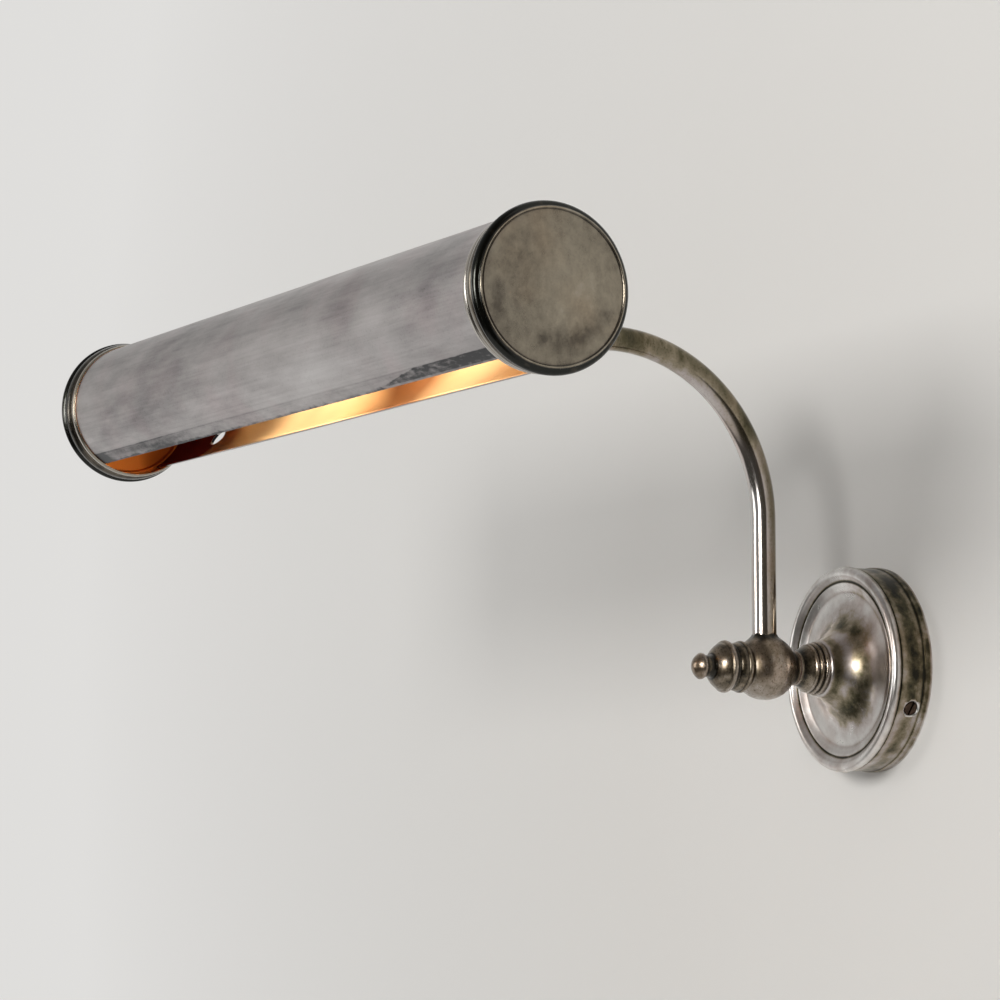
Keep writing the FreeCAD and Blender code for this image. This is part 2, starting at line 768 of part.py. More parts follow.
def bulb_mount():
    # Glass stem, two stiff wires and a straight coiled filament between them.
    start = skirt_start - 0.8
    stem_end = start - 14.0
    far = bulb_tip + 14.0
    stem = turned((start, 0), (start, bulb_thread - 0.3), (start - 1.0, bulb_thread - 0.3),
                  (start - 6.0, 3.0, stem_end, 2.2), (stem_end, 0))
    long_wire = rod(0.35, far, stem_end).translated(V(0, 1.6, 0))
    short_wire = rod(0.35, stem_end - 8.0, stem_end).translated(V(0, -1.6, 0))
    far_post = Part.makeCylinder(0.35, 3.2, V(far + 1.0, -1.6, 0), Y_AXIS)
    filament = rod(0.55, far, stem_end - 8.0).translated(V(0, -1.6, 0))
    return stem.fuse([long_wire, short_wire, far_post, filament]).removeSplitter()


def both_sides(maker):
    shape = maker()
    return at_shade(mirrored(shape)), at_shade(shape)


# Wiring

lead_height = bar_low - 2.2


def stem_lead():
    turn_out = 6.5
    points = [V(0, -arm_out - window_half + 0.6, 0), V(0, -turn_out, 0),
              V(0, -turn_out, block_middle_z + block_length / 2)]
    return along(stem_lead_radius, points, [6.0])


def arm_lead():
    start_z = stem_lead_radius + 0.3
    return arm_solid(stem_lead_radius, start_z, arm_run + 1.0)


def shade_lead():
    # Out of the entry nipple, along under the bar, through the tab and round into the holder.
    offset = shade_lead_radius + 0.15
    low = nipple_end - 5.3
    loop_x = bar_half + 11.0
    top = shade_radius + saddle_height + nipple_grip - 1.0
    points = [V(offset, top, 0), V(offset, low, 0), V(offset + 9.0, low, 0),
              V(offset + 23.0, lead_height, 0), V(loop_x, lead_height, 0),
              V(loop_x, 0, 0), V(holder_seat - 4.0, 0, 0)]
    return along(shade_lead_radius, points, [4.2, 10.0, 12.0, 9.0, 6.5])


os.makedirs("parts", exist_ok=True)

save("wall_bracket", wall_bracket())
save("bracket_lugs", *bracket_lugs())
save("canopy", canopy())
save("canopy_side_screws", *side_screws())
save("terminal_block", terminal_block())
save("terminal_inserts", *terminal_inserts())
save("terminal_screws", *terminal_screws())
save("terminal_fixing_screw", block_screw())
save("earth_screw", earth_screw())
save("earth_washer", earth_washer())
save("spigot", spigot())
save("stem_washer", stem_washer())
save("stem_nut", stem_nut())
save("collar", collar())
save("rear_fibre_washer", rear_fibre_washer())
save("stem_lead", stem_lead())

save("swivel_ball", swivel_ball())
save("arm_tube", arm_tube())
save("arm_lead", arm_lead())
save("tilt_swivel_arm_half", swivel_arm_half())

save("front_fibre_washer", front_fibre_washer())
save("clamp_ring", clamp_ring())
save("finial_nut", finial())

save("tilt_swivel_shade_half", swivel_shade_half())
save("tilt_fibre_disc", swivel_fibre_disc())
save("tilt_spring_washer", swivel_spring())
save("tilt_screw", swivel_screw())
save("shade_saddle", saddle())
save("shade_nipple", nipple())
save("shade_tube", shade_tube())
save("lamp_bar", lamp_bar())
save("inner_washer", inner_washer())
save("inner_nut", inner_nut())

for maker, name in ((end_cap, "end_cap"), (holder_base, "lampholder_base"),
                    (holder_body, "lampholder_body"),
                    (bulb_cap, "bulb_cap"), (bulb_glass, "bulb_glass"), (bulb_mount, "bulb_filament"),
                    (shade_lead, "shade_lead")):
    left, right = both_sides(maker)
    save(name + "_left", left)
    save(name + "_right", right)

for maker, name in ((holder_nut, "lampholder_nuts"), (holder_nipple, "lampholder_nipples"),
                    (holder_insert, "lampholder_inserts"), (holder_shell, "lampholder_shells"),
                    (holder_contact, "lampholder_contacts")):
    save(name, *both_sides(maker))

print("pivot", pivot, "shade centre", shade_centre)
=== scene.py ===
# Wall light with a swivelling arm and a slotted tube shade: its looks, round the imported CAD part.
# The dictionaries are in millimetres and degrees, and the meshes in metres.
from math import cos, pi, radians, sin

import bpy
import numpy as np
from mathutils import Matrix


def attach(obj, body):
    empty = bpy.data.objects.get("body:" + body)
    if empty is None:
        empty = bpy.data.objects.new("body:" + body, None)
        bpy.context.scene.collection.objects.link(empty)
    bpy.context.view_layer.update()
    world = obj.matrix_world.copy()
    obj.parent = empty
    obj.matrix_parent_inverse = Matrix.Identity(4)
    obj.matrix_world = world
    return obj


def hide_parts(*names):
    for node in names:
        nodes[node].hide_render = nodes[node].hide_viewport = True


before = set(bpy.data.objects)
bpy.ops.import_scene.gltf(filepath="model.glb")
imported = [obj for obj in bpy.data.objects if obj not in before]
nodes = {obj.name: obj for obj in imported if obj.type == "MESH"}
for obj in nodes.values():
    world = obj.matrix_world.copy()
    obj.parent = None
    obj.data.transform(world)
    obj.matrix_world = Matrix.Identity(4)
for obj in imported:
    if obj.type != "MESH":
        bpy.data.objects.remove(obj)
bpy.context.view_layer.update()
print("frame loaded:", len(nodes), "nodes")

mm = 0.001
lean = radians(7.0)  # the straight run of the arm points down by this much
shadeCentre = np.array([0.0, -254.178, 115.333])

# Each place is an origin, the axis that a piece is turned about, and two directions across it
fromWall = {"foot": (0, 0, 0), "axis": (0, -1, 0), "side": (1, 0, 0), "lift": (0, 0, 1)}
capRight = {"foot": shadeCentre, "axis": (1, 0, 0), "side": (0, 1, 0), "lift": (0, 0, 1)}
capLeft = {"foot": shadeCentre, "axis": (-1, 0, 0), "side": (0, 1, 0), "lift": (0, 0, 1)}


def compass(angle):
    # The cosine and the sine of an angle in degrees
    return np.array([cos(radians(angle)), sin(radians(angle))])


def allRound(columns):
    # Even steps of one whole turn
    return np.linspace(0, 2 * pi, columns, endpoint=False)


# Profiles

def arcThrough(start, middle, end, count=20):
    # The circle through three points, walked from the first to the last on the side of the middle one
    a, b, c = (np.array(p, float) for p in (start, middle, end))
    chords = 2 * np.array([b - a, c - a])
    centre = np.linalg.solve(chords, [b @ b - a @ a, c @ c - a @ a])
    heading = [np.arctan2(*(p - centre)[::-1]) for p in (a, b, c)]
    halfway, whole = ((heading[k] - heading[0]) % (2 * pi) for k in (1, 2))
    sweep = whole if halfway < whole else whole - 2 * pi
    turn = heading[0] + np.linspace(0, sweep, count)
    return centre + np.hypot(*(a - centre)) * np.stack([np.cos(turn), np.sin(turn)], 1)


def cornerLine(steps):
    # A step of two numbers is a straight line to that point, and one of four an arc through a point to an end
    line = [np.array([steps[0]], float)]
    for step in steps[1:]:
        last = line[-1][-1]
        line.append(arcThrough(last, step[:2], step[2:])[1:] if len(step) == 4 else np.array([step], float))
    return np.concatenate(line)


def bellBlur(values, width, closed):
    # Each point becomes the mean of its neighbours, weighted with a bell curve
    # An open line ends on the axis, so there its neighbours are its own mirror image across the axis
    reach = int(3 * width) + 1
    weights = np.exp(-0.5 * (np.arange(-reach, reach + 1) / width) ** 2)
    weights /= weights.sum()
    if closed:
        padded = np.concatenate([values[-reach:], values, values[:reach]])
    else:
        across = np.array([1, -1])
        padded = np.concatenate([values[reach:0:-1] * across, values, values[-2:-reach - 2:-1] * across])
    return np.stack([np.convolve(padded[:, k], weights, "valid") for k in (0, 1)], 1)


def softProfile(steps, soft, rows, closed, fine=0.04, wide=1.1):
    # The corner line walked in even fine steps and blurred, so that each corner gets a small round
    # Rows are then picked closer together where the line turns
    # Relief is how far the line stands out of a wide blur of itself, along its outward normal
    corners = cornerLine(steps)
    if closed:
        corners = np.concatenate([corners, corners[:1]])
    walked = np.concatenate([[0], np.cumsum(np.hypot(*np.diff(corners, axis=0).T))])
    ticks = np.linspace(0, walked[-1], int(walked[-1] / fine) + 2)[:-1 if closed else None]
    line = np.stack([np.interp(ticks, walked, corners[:, k]) for k in (0, 1)], 1)
    line = bellBlur(line, soft / fine, closed)
    broad = bellBlur(line, wide / fine, closed)
    slope = np.gradient(line, axis=0)
    normal = np.stack([slope[:, 1], -slope[:, 0]], 1) / np.hypot(*slope.T)[:, None]
    area = np.sum(line[:, 0] * np.roll(line[:, 1], -1) - np.roll(line[:, 0], -1) * line[:, 1])
    relief = np.sum((line - broad) * normal, 1) * np.sign(area)
    chord = np.hypot(*np.diff(line, axis=0).T)
    turning = np.abs(np.diff(np.unwrap(np.arctan2(slope[:, 1], slope[:, 0]))))
    pace = np.concatenate([[0], np.cumsum(chord / chord.sum() + turning / turning.sum())])
    keep = np.interp(np.linspace(0, pace[-1], rows), pace, np.arange(len(line)))
    profile = {"along": line[:, 0], "radius": line[:, 1], "relief": relief, "walked": ticks}
    return {key: np.interp(keep, np.arange(len(line)), values) for key, values in profile.items()}


# Meshes

def show(thing):
    # Puts an object into the scene
    bpy.context.scene.collection.objects.link(thing)


def placesOf(mesh):
    # A mesh's corners in millimetres
    flat = np.zeros(len(mesh.vertices) * 3)
    mesh.vertices.foreach_get("co", flat)
    return flat.reshape(-1, 3) / mm


def gridFaces(rows, columns, closedRows=True, closedColumns=True):
    # The quads between neighbouring rows and columns of a grid whose points run row by row
    i = np.arange(rows if closedRows else rows - 1)[:, None]
    j = np.arange(columns if closedColumns else columns - 1)[None, :]
    here, nextRow = i * columns, (i + 1) % rows * columns
    nextColumn = (j + 1) % columns
    corners = [here + j, here + nextColumn, nextRow + nextColumn, nextRow + j]
    return np.stack(corners, -1).reshape(-1, 4)


def meshFromArrays(name, points, faces, values):
    # faces is a list of index arrays. A closed surface's volume is the sum of its corners' triple products,
    # and if that is negative the faces look inwards, so their corners are taken in the other order
    volume = 0.0
    for group in faces:
        for k in range(1, group.shape[1] - 1):
            a, b, c = points[group[:, 0]], points[group[:, k]], points[group[:, k + 1]]
            volume += np.einsum("ij,ij->i", a, np.cross(b, c)).sum()
    if volume < 0:
        faces = [group[:, ::-1] for group in faces]
    mesh = bpy.data.meshes.new(name)
    mesh.from_pydata((points * mm).tolist(), [], [face for group in faces for face in group.tolist()])
    for key, value in values.items():
        mesh.attributes.new(key, "FLOAT", "POINT").data.foreach_set("value", value.astype(np.float32))
    mesh.validate()
    piece = bpy.data.objects.new(name, mesh)
    show(piece)
    return piece


def bellSpots(points, marks):
    # Each mark is a place, a reach and a depth. It adds depth * exp(-(distance / reach) squared) to a point
    total = np.zeros(len(points))
    for *middle, reach, depth in marks:
        total += depth * np.exp(-np.sum((points - np.array(middle)) ** 2, axis=1) / reach ** 2)
    return total


def turnedPiece(name, steps, place, soft, rows, columns, closed=True, rings=(), marks=()):
    # A point is foot + along * axis + radius * (cos(turn) * side + sin(turn) * lift)
    # An open profile starts and ends on the axis, where its row shrinks to one point
    # Rings are stains at places of the profile, and marks at places in space; some of them are painted shade,
    # painted highlight or painted reflection
    line = softProfile(steps, soft, rows, closed)
    if closed:
        line = {key: value[:-1] for key, value in line.items()}
    line["stainAndShade"] = bellSpots(np.stack([line["along"], line["radius"]], 1), rings)
    foot, axis, side, lift = (np.array(place[key], float) for key in ("foot", "axis", "side", "lift"))
    count = len(line["along"])
    turn = allRound(columns)
    hoop = np.cos(turn)[:, None] * side + np.sin(turn)[:, None] * lift
    points = foot + line["along"][:, None, None] * axis + line["radius"][:, None, None] * hoop
    points = points.reshape(-1, 3)
    values = {key: np.repeat(line[key], columns) for key in ("relief", "walked", "stainAndShade")}
    faces = [gridFaces(count, columns, closedRows=closed)]
    if not closed:
        merged = np.arange(count * columns)
        merged[:columns], merged[-columns:] = 0, count * columns - 1
        used, renumbered = np.unique(merged, return_inverse=True)
        quads = renumbered.reshape(-1)[faces[0]]
        faces = [quads[:columns][:, [0, 2, 3]], quads[columns:-columns], quads[-columns:][:, [0, 1, 2]]]
        points, values = points[used], {key: value[used] for key, value in values.items()}
    values["stainAndShade"] += bellSpots(points, marks)
    return meshFromArrays(name, points, faces, values)


def drillRod(place, low, high, radius, columns):
    # A rod for a hole, from low to high along the axis of its place
    return turnedPiece("drill", [(low, 0), (low, radius), (high, radius), (high, 0)], place,
                       soft=0.03, rows=30, columns=columns, closed=False)


def sweptPipe(name, path, across, outer, inner, columns, shadeAndMarks):
    # A pipe wall carried out along a path at the outer radius and back along it at the inner one
    # Across is a direction at right angles to the whole path, and other its cross product with the path
    # The stain and painted shade grow as the cosine between a point's own direction and the given side: a
    # painted shade on the side turned away from the lamps
    slope = np.gradient(path, axis=0)
    slope /= np.linalg.norm(slope, axis=1)[:, None]
    other = np.cross(slope, across)
    turn = allRound(columns)
    hoop = np.cos(turn)[None, :, None] * across + np.sin(turn)[None, :, None] * other[:, None, :]
    skins = [path[:, None, :] + radius * hoop for radius in (outer, inner)]
    points = np.concatenate([skins[0], skins[1][::-1]])
    walked = np.concatenate([[0], np.cumsum(np.linalg.norm(np.diff(path, axis=0), axis=1))])
    facing = np.clip(hoop @ np.array(shadeAndMarks["side"]), 0, 1) * shadeAndMarks["depth"]
    stainAndShade = np.concatenate([facing, facing[::-1]]).reshape(-1)
    stainAndShade += bellSpots(points.reshape(-1, 3), shadeAndMarks["marks"])
    values = {"walked": np.repeat(np.concatenate([walked, walked[::-1]]), columns), "stainAndShade": stainAndShade}
    return meshFromArrays(name, points.reshape(-1, 3), [gridFaces(len(points), columns)], values)


def mergedCopy(name, node, turned=None):
    # A copy of a CAD node's mesh with its equal corners made one. Turned is a place, an axis and an angle:
    # the part along the axis stays, and the part across it turns as cos * across + sin * (axis x across)
    source = nodes[node].data
    source.calc_loop_triangles()
    corners = np.zeros(len(source.loop_triangles) * 3, np.int32)
    source.loop_triangles.foreach_get("vertices", corners)
    points, index = np.unique(np.round(placesOf(source), 4), axis=0, return_inverse=True)
    faces = index.reshape(-1)[corners].reshape(-1, 3)
    proper = (faces[:, 0] != faces[:, 1]) & (faces[:, 1] != faces[:, 2]) & (faces[:, 2] != faces[:, 0])
    if turned:
        foot, axis, angle = np.array(turned[0]), np.array(turned[1]), radians(turned[2])
        along = ((points - foot) @ axis)[:, None] * axis
        across = points - foot - along
        points = foot + along + cos(angle) * across + sin(angle) * np.cross(axis, across)
    return meshFromArrays(name, points, [faces[proper]], {})


def cutHoles(piece, tools):
    # Takes the tools' space out of the piece and throws the tools away
    for tool in tools:
        cut = piece.modifiers.new("cut", "BOOLEAN")
        cut.operation, cut.solver, cut.object = "DIFFERENCE", "EXACT", tool
    bpy.context.view_layer.update()
    shaped = piece.evaluated_get(bpy.context.evaluated_depsgraph_get())
    mesh = bpy.data.meshes.new_from_object(shaped)
    piece.modifiers.clear()
    piece.data = mesh
    for tool in tools:
        bpy.data.objects.remove(tool)


def finishPiece(piece, body, materials, node, inside=None, sharp=32.0):
    # Puts the piece on its body in a CAD node's stead. An edge is sharp where its faces turn by more than
    # that angle, and inside says of each face's middle, in millimetres, if it takes the second material
    mesh = piece.data
    mesh.materials.clear()
    for material in materials:
        mesh.materials.append(material)
    if inside is not None:
        middles = np.zeros(len(mesh.polygons) * 3)
        mesh.polygons.foreach_get("center", middles)
        mesh.polygons.foreach_set("material_index", inside(middles.reshape(-1, 3) / mm).astype(np.int32))
    mesh.polygons.foreach_set("use_smooth", np.ones(len(mesh.polygons), bool))
    mesh.set_sharp_from_angle(angle=radians(sharp))
    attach(piece, body)
    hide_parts(node)


# Materials

def feed(tree, node, inputs):
    # Links each input whose value is a socket, and sets the others
    for key, value in inputs.items():
        if isinstance(value, bpy.types.NodeSocket):
            tree.links.new(value, node.inputs[key])
        else:
            node.inputs[key].default_value = value


def put(tree, kind, inputs=None, **settings):
    # A new node of a kind, with its settings and inputs
    made = tree.nodes.new("ShaderNode" + kind)
    for key, value in settings.items():
        setattr(made, key, value)
    feed(tree, made, inputs or {})
    return made


def noise(tree, where, scale, detail=4.0, rough=0.55, stretch=(1, 1, 1)):
    # Noise of a scale, in coordinates that are multiplied by the stretch
    turned = put(tree, "Mapping", {"Vector": where, "Scale": stretch}).outputs[0]
    settings = {"Vector": turned, "Scale": scale, "Detail": detail, "Roughness": rough}
    return put(tree, "TexNoise", settings).outputs[0]


def spread(tree, value, low, high, start=0.0, end=1.0):
    # A value that runs in a straight line from start at low to end at high, and stays level past them
    reach = {"Value": value, "From Min": low, "From Max": high, "To Min": start, "To Max": end}
    return put(tree, "MapRange", reach).outputs[0]


def blend(tree, share, first, second, how="MIX"):
    # The first colour at share 0 and the second at share 1, or another blend of them
    return put(tree, "Mix", {0: share, 6: first, 7: second}, data_type="RGBA", blend_type=how).outputs[2]


def work(tree, how, first, second=0.0):
    # One sum with two values
    return put(tree, "Math", {0: first, 1: second}, operation=how).outputs[0]


def weighed(tree, start, parts):
    # Start plus, for each part, its weight times how far it is from its middle
    for value, middle, weight in parts:
        offset = work(tree, "SUBTRACT", value, middle)
        start = put(tree, "Math", {0: offset, 1: weight, 2: start}, operation="MULTIPLY_ADD").outputs[0]
    return start


def toneRamp(tree, share, tones):
    # A colour ramp through the given places and colours
    ramp = put(tree, "ValToRGB", {"Fac": share})
    stops = ramp.color_ramp.elements
    stops[0].position, stops[1].position = tones[0][0], tones[-1][0]
    stops[0].color, stops[1].color = tones[0][1] + (1,), tones[-1][1] + (1,)
    for place, tone in tones[1:-1]:
        stops.new(place).color = tone + (1,)
    return ramp.outputs[0]


def attribute(tree, name):
    # A value that the mesh holds for each point, or 0 where it holds none
    return put(tree, "Attribute", attribute_name=name).outputs["Fac"]


def alongX(tree, where):
    # The first coordinate in millimetres
    return work(tree, "DIVIDE", put(tree, "SeparateXYZ", {0: where}).outputs[0], mm)


def bumped(tree, height, strength, reach):
    # The normal of a skin that the height lifts, by up to the reach in millimetres
    settings = {"Strength": strength, "Distance": reach * mm, "Height": height}
    return put(tree, "Bump", settings).outputs[0]


def newMaterial(name):
    # A material with an unset shader, and the coordinates of its object
    material = bpy.data.materials.new(name)
    material.use_nodes = True
    tree = material.node_tree
    tree.nodes.clear()
    shader = put(tree, "BsdfPrincipled")
    put(tree, "OutputMaterial", {"Surface": shader.outputs[0]})
    return material, tree, shader, put(tree, "TexCoord").outputs["Object"]


# Aged nickel from rubbed bright at 0 to near black in the grooves at 1
nickelTones = [
    (0, (0.8, 0.78, 0.75)), (0.22, (0.6, 0.575, 0.55)), (0.42, (0.44, 0.39, 0.365)),
    (0.6, (0.27, 0.228, 0.16)), (0.8, (0.095, 0.083, 0.048)), (1, (0.02, 0.019, 0.013)),
]
# The rolled tube is a cooler, flatter grey, the caps are blacker in their grooves and the cast parts browner
tubeTones = [
    (0, (0.66, 0.64, 0.63)), (0.45, (0.42, 0.395, 0.39)), (0.75, (0.25, 0.235, 0.235)),
    (1, (0.03, 0.03, 0.033)),
]
capTones = [
    (0, (0.8, 0.78, 0.76)), (0.25, (0.55, 0.53, 0.51)), (0.55, (0.29, 0.253, 0.192)),
    (0.76, (0.105, 0.088, 0.066)), (1, (0.014, 0.015, 0.012)),
]
castTones = [
    (0, (0.78, 0.77, 0.76)), (0.3, (0.52, 0.488, 0.462)), (0.5, (0.35, 0.3, 0.253)),
    (0.65, (0.205, 0.165, 0.117)), (0.82, (0.078, 0.062, 0.04)), (1, (0.018, 0.015, 0.01)),
]
# Level is the depth of the patina before its clouds, lines, specks, stains and painted shade are added
tubeLook = {
    "tones": tubeTones, "level": 0.43, "patch": 0.3, "mottle": 0.52, "lines": 0.28, "speck": 0.12,
    "crest": 0, "groove": 0, "coat": 0, "patchScale": 26, "mottleScale": 150,
    "stretch": (0.27, 1, 1), "grain": "lengthwise", "rough": 0.39, "roughSpread": 0.12, "bump": 0.08,
    "tint": 0.5, "tintTone": (1, 0.9, 0.92, 1),
    "strip": {"wide": 6.3, "from": 98, "taper": 30, "tip": 2.2, "until": -95, "left": 0.18, "faint": 0.13,
              "blotches": 0.35, "dark": 0.4, "rim": 1.3, "pale": 0.26, "edge": 0.42, "border": 0.13,
              "waver": (110, 5, 0.65, (1, 0.3, 0.3)), "blotch": (420, 4, 0.6, (0.5, 1, 1))},
}
armLook = {
    "tones": nickelTones, "level": 0.24, "patch": 0.3, "mottle": 0.22, "lines": 0.05, "speck": 0.1,
    "crest": 0, "groove": 0, "coat": 0.2, "patchScale": 30, "mottleScale": 150,
    "stretch": (1, 1, 0.4), "grain": "plain", "rough": 0.16, "roughSpread": 0.03, "bump": 0.004,
    "tint": 0.5, "tintTone": (1, 0.87, 0.8, 1),
}
canopyLook = {
    "tones": nickelTones, "level": 0.16, "patch": 0.6, "mottle": 0.48, "lines": 0.06, "speck": 0.03,
    "crest": -0.2, "groove": 0.4, "coat": 0.15, "patchScale": 34, "mottleScale": 160,
    "stretch": (1, 1, 1), "grain": "turned", "rough": 0.3, "roughSpread": 0.12, "bump": 0.008,
    "tint": 0.6, "tintTone": (1, 0.9, 0.86, 1),
}
castLook = {
    "tones": castTones, "level": 0.58, "patch": 0.46, "mottle": 0.56, "lines": 0.1, "speck": 0.2,
    "crest": -0.14, "groove": 0.4, "coat": 0.4, "patchScale": 60, "mottleScale": 260,
    "stretch": (1, 1, 1), "grain": "turned", "rough": 0.3, "roughSpread": 0.26, "bump": 0.14,
    "tint": 0.7, "tintTone": (1, 0.86, 0.75, 1),
}
capLook = {
    "tones": capTones, "level": 0.62, "patch": 0.16, "mottle": 0.26, "lines": 0.03, "speck": 0.04,
    "crest": -0.12, "groove": 0.15, "coat": 0.4, "patchScale": 40, "mottleScale": 260,
    "stretch": (1, 1, 0.8), "grain": "turned", "rough": 0.24, "roughSpread": 0.18, "bump": 0.06,
    "tint": 0.5, "tintTone": (1, 0.88, 0.78, 1),
}


def edgeStrip(tree, where, strip):
    # Painted reflection of a dark room below, by the slot's front edge, from the distance off that edge and
    # the place along the tube: a dark strip that widens to the right, a paler one at the left, and wavering
    # lines on the edge and above it
    along, off, wide = alongX(tree, where), attribute(tree, "walked"), strip["wide"]
    waver, blotch = (noise(tree, where, *strip[key]) for key in ("waver", "blotch"))

    def wavering(much):
        # The distance off the edge, with waves of that size
        return weighed(tree, off, [(waver, 0.5, much)])

    def below(value, limit, soft):
        # 1 below the limit and 0 above it, with a soft step between
        return spread(tree, value, limit + soft, limit - soft)

    # The faint strip has blotches, and a darker left end
    leftEnd = below(along, strip["until"], 15)
    depth = weighed(tree, strip["faint"], [(leftEnd, 0, strip["left"]), (blotch, 0.5, strip["blotches"])])
    # The dark one tapers to a tip at its left end, and has a pale rim on the edge, a painted highlight
    begun = spread(tree, along, strip["from"] - 4, strip["from"] + 2)
    upTo = spread(tree, along, strip["from"], strip["from"] + strip["taper"], strip["tip"], wide)
    # The dark strip under the wavering line is a painted reflection, with blotches
    under = spread(tree, work(tree, "SUBTRACT", upTo, wavering(1.6)), -0.25, 0.25)
    mirroredDark = work(tree, "MULTIPLY", under, begun)
    mirroredDark = work(tree, "MULTIPLY", mirroredDark, spread(tree, blotch, 0.25, 0.75, 0.6, 1.3))
    rim = work(tree, "MULTIPLY", below(off, strip["rim"], 0.2), begun)
    depth = weighed(tree, depth, [(mirroredDark, 0, strip["dark"]), (rim, 0, -strip["pale"])])
    # The edge's own line stops where the dark strip begins
    edge = work(tree, "MULTIPLY", below(wavering(6), 1.05, 0.65), work(tree, "SUBTRACT", 1, begun))
    border = below(work(tree, "ABSOLUTE", work(tree, "SUBTRACT", off, wide)), 0.325, 0.225)
    lines = weighed(tree, 0, [(edge, 0, strip["edge"]), (border, 0, strip["border"])])
    return work(tree, "ADD", work(tree, "MULTIPLY", below(wavering(0.8), wide, 0.2), depth), lines)


# Scales of the finer noises, the reliefs over which a groove and a crest come on, and the coat and bump
patina = {"specks": 1300, "turnedLines": 1.9, "brushedLines": 900, "tints": 38,
          "groove": (-0.03, -0.2), "crest": (0.05, 0.25), "coatRough": 0.13, "bumpReach": 0.1}


def agedNickel(name, look):
    # Depth is the look's level, plus the stain and painted shade, grooves and weighed noises, less the rubbed
    # crests
    # The ramp turns depth into a tone, and another noise tints it
    material, tree, shader, where = newMaterial(name)
    patch = noise(tree, where, look["patchScale"], 3, 0.5, look["stretch"])
    mottle = noise(tree, where, look["mottleScale"], 5, 0.6, look["stretch"])
    speck = noise(tree, where, patina["specks"], 2, 0.5)
    if look["grain"] == "turned":
        settings = {"W": attribute(tree, "walked"), "Scale": patina["turnedLines"], "Detail": 3}
        lines = put(tree, "TexNoise", settings, noise_dimensions="1D").outputs[0]
    else:
        lines = noise(tree, where, patina["brushedLines"], 3, 0.6, (0.02, 1, 1))
    relief = attribute(tree, "relief")
    uneven = spread(tree, mottle, 0.3, 0.7, 0.75, 1.25)
    depth = weighed(tree, look["level"], [
        (work(tree, "MULTIPLY", attribute(tree, "stainAndShade"), uneven), 0, 1),
        (patch, 0.5, look["patch"]), (mottle, 0.5, look["mottle"]), (lines, 0.5, look["lines"]),
        (spread(tree, speck, 0.55, 0.75), 0, look["speck"]),
        (spread(tree, relief, *patina["groove"]), 0, look["groove"]),
        (spread(tree, relief, *patina["crest"]), 0, look["crest"]),
    ])
    if "strip" in look:
        depth = work(tree, "ADD", depth, edgeStrip(tree, where, look["strip"]))
    tinted = spread(tree, noise(tree, where, patina["tints"], 2), 0.45, 0.65)
    tinted = work(tree, "MULTIPLY", tinted, look["tint"])
    uneven = look["roughSpread"]
    height = weighed(tree, 0, [(mottle, 0.5, 1), (lines, 0.5, 0.4), (speck, 0.5, 0.3)])
    feed(tree, shader, {
        "Base Color": blend(tree, tinted, toneRamp(tree, depth, look["tones"]), look["tintTone"], "MULTIPLY"),
        "Roughness": weighed(tree, look["rough"], [(patch, 0.5, uneven), (mottle, 0.5, uneven)]),
        "Normal": bumped(tree, height, look["bump"], patina["bumpReach"]),
        "Metallic": 1, "Coat Weight": look["coat"], "Coat Roughness": patina["coatRough"],
    })
    return material


def mottled(name, base, other, smoothest, roughest, scale=300, metallic=1):
    # One metal or plastic mottled with a second tone, with a fine bump
    material, tree, shader, where = newMaterial(name)
    mottle = noise(tree, where, scale, 5, 0.6)
    feed(tree, shader, {
        "Base Color": blend(tree, spread(tree, mottle, 0.35, 0.65), base + (1,), other + (1,)),
        "Roughness": spread(tree, mottle, 0.3, 0.7, smoothest, roughest),
        "Normal": bumped(tree, mottle, 0.2, 0.03), "Metallic": metallic,
    })
    return material


# Amber is painted lamp light, dim on the tube inside and bright on the caps' inner faces, and the caps take
# the painted shadow tone where their amber attribute falls
shadowTone = (0.15, 0.01, 0.006, 1)
tubeLacquer = {"gold": (0.94, 0.7, 0.43, 1), "amber": (0.29, 0.13, 0.049, 1)}
capLacquer = {"gold": shadowTone, "amber": (1, 0.37, 0.085, 1)}


def warmLacquer(name, lacquer, smoothest=0.38, roughest=0.48):
    # Gold lacquer, with painted amber light where its attribute and soft clouds say so, and a dull dark
    # painted shadow where the stain and shade attribute says so
    material, tree, shader, where = newMaterial(name)
    cloud = noise(tree, where, 30, 2, 0.4, (0.5, 1, 1))
    warm = weighed(tree, attribute(tree, "amber"), [(spread(tree, cloud, 0.45, 0.7), 0, 0.5)])
    colour = blend(tree, spread(tree, warm, 0, 1), lacquer["gold"], lacquer["amber"])
    endShadow = spread(tree, weighed(tree, attribute(tree, "stainAndShade"), [(cloud, 0.5, 0.3)]), 0.1, 0.9)
    rough = spread(tree, cloud, 0.3, 0.7, smoothest, roughest)
    feed(tree, shader, {
        "Base Color": blend(tree, endShadow, colour, shadowTone),
        "Roughness": weighed(tree, rough, [(endShadow, 0, 0.5)]),
        "Normal": bumped(tree, noise(tree, where, 500, 3), 0.03, 0.03),
        "Metallic": spread(tree, endShadow, 0.2, 0.9, 1, 0), "Specular IOR Level": 0.15,
    })
    return material


lampGlow = {"middle": 58, "reach": 60, "strength": 4.2, "faint": 3.7, "body": (0.95, 0.9, 0.8, 1),
            "core": (1, 0.84, 0.6, 1), "edge": (1, 0.87, 0.66, 1)}


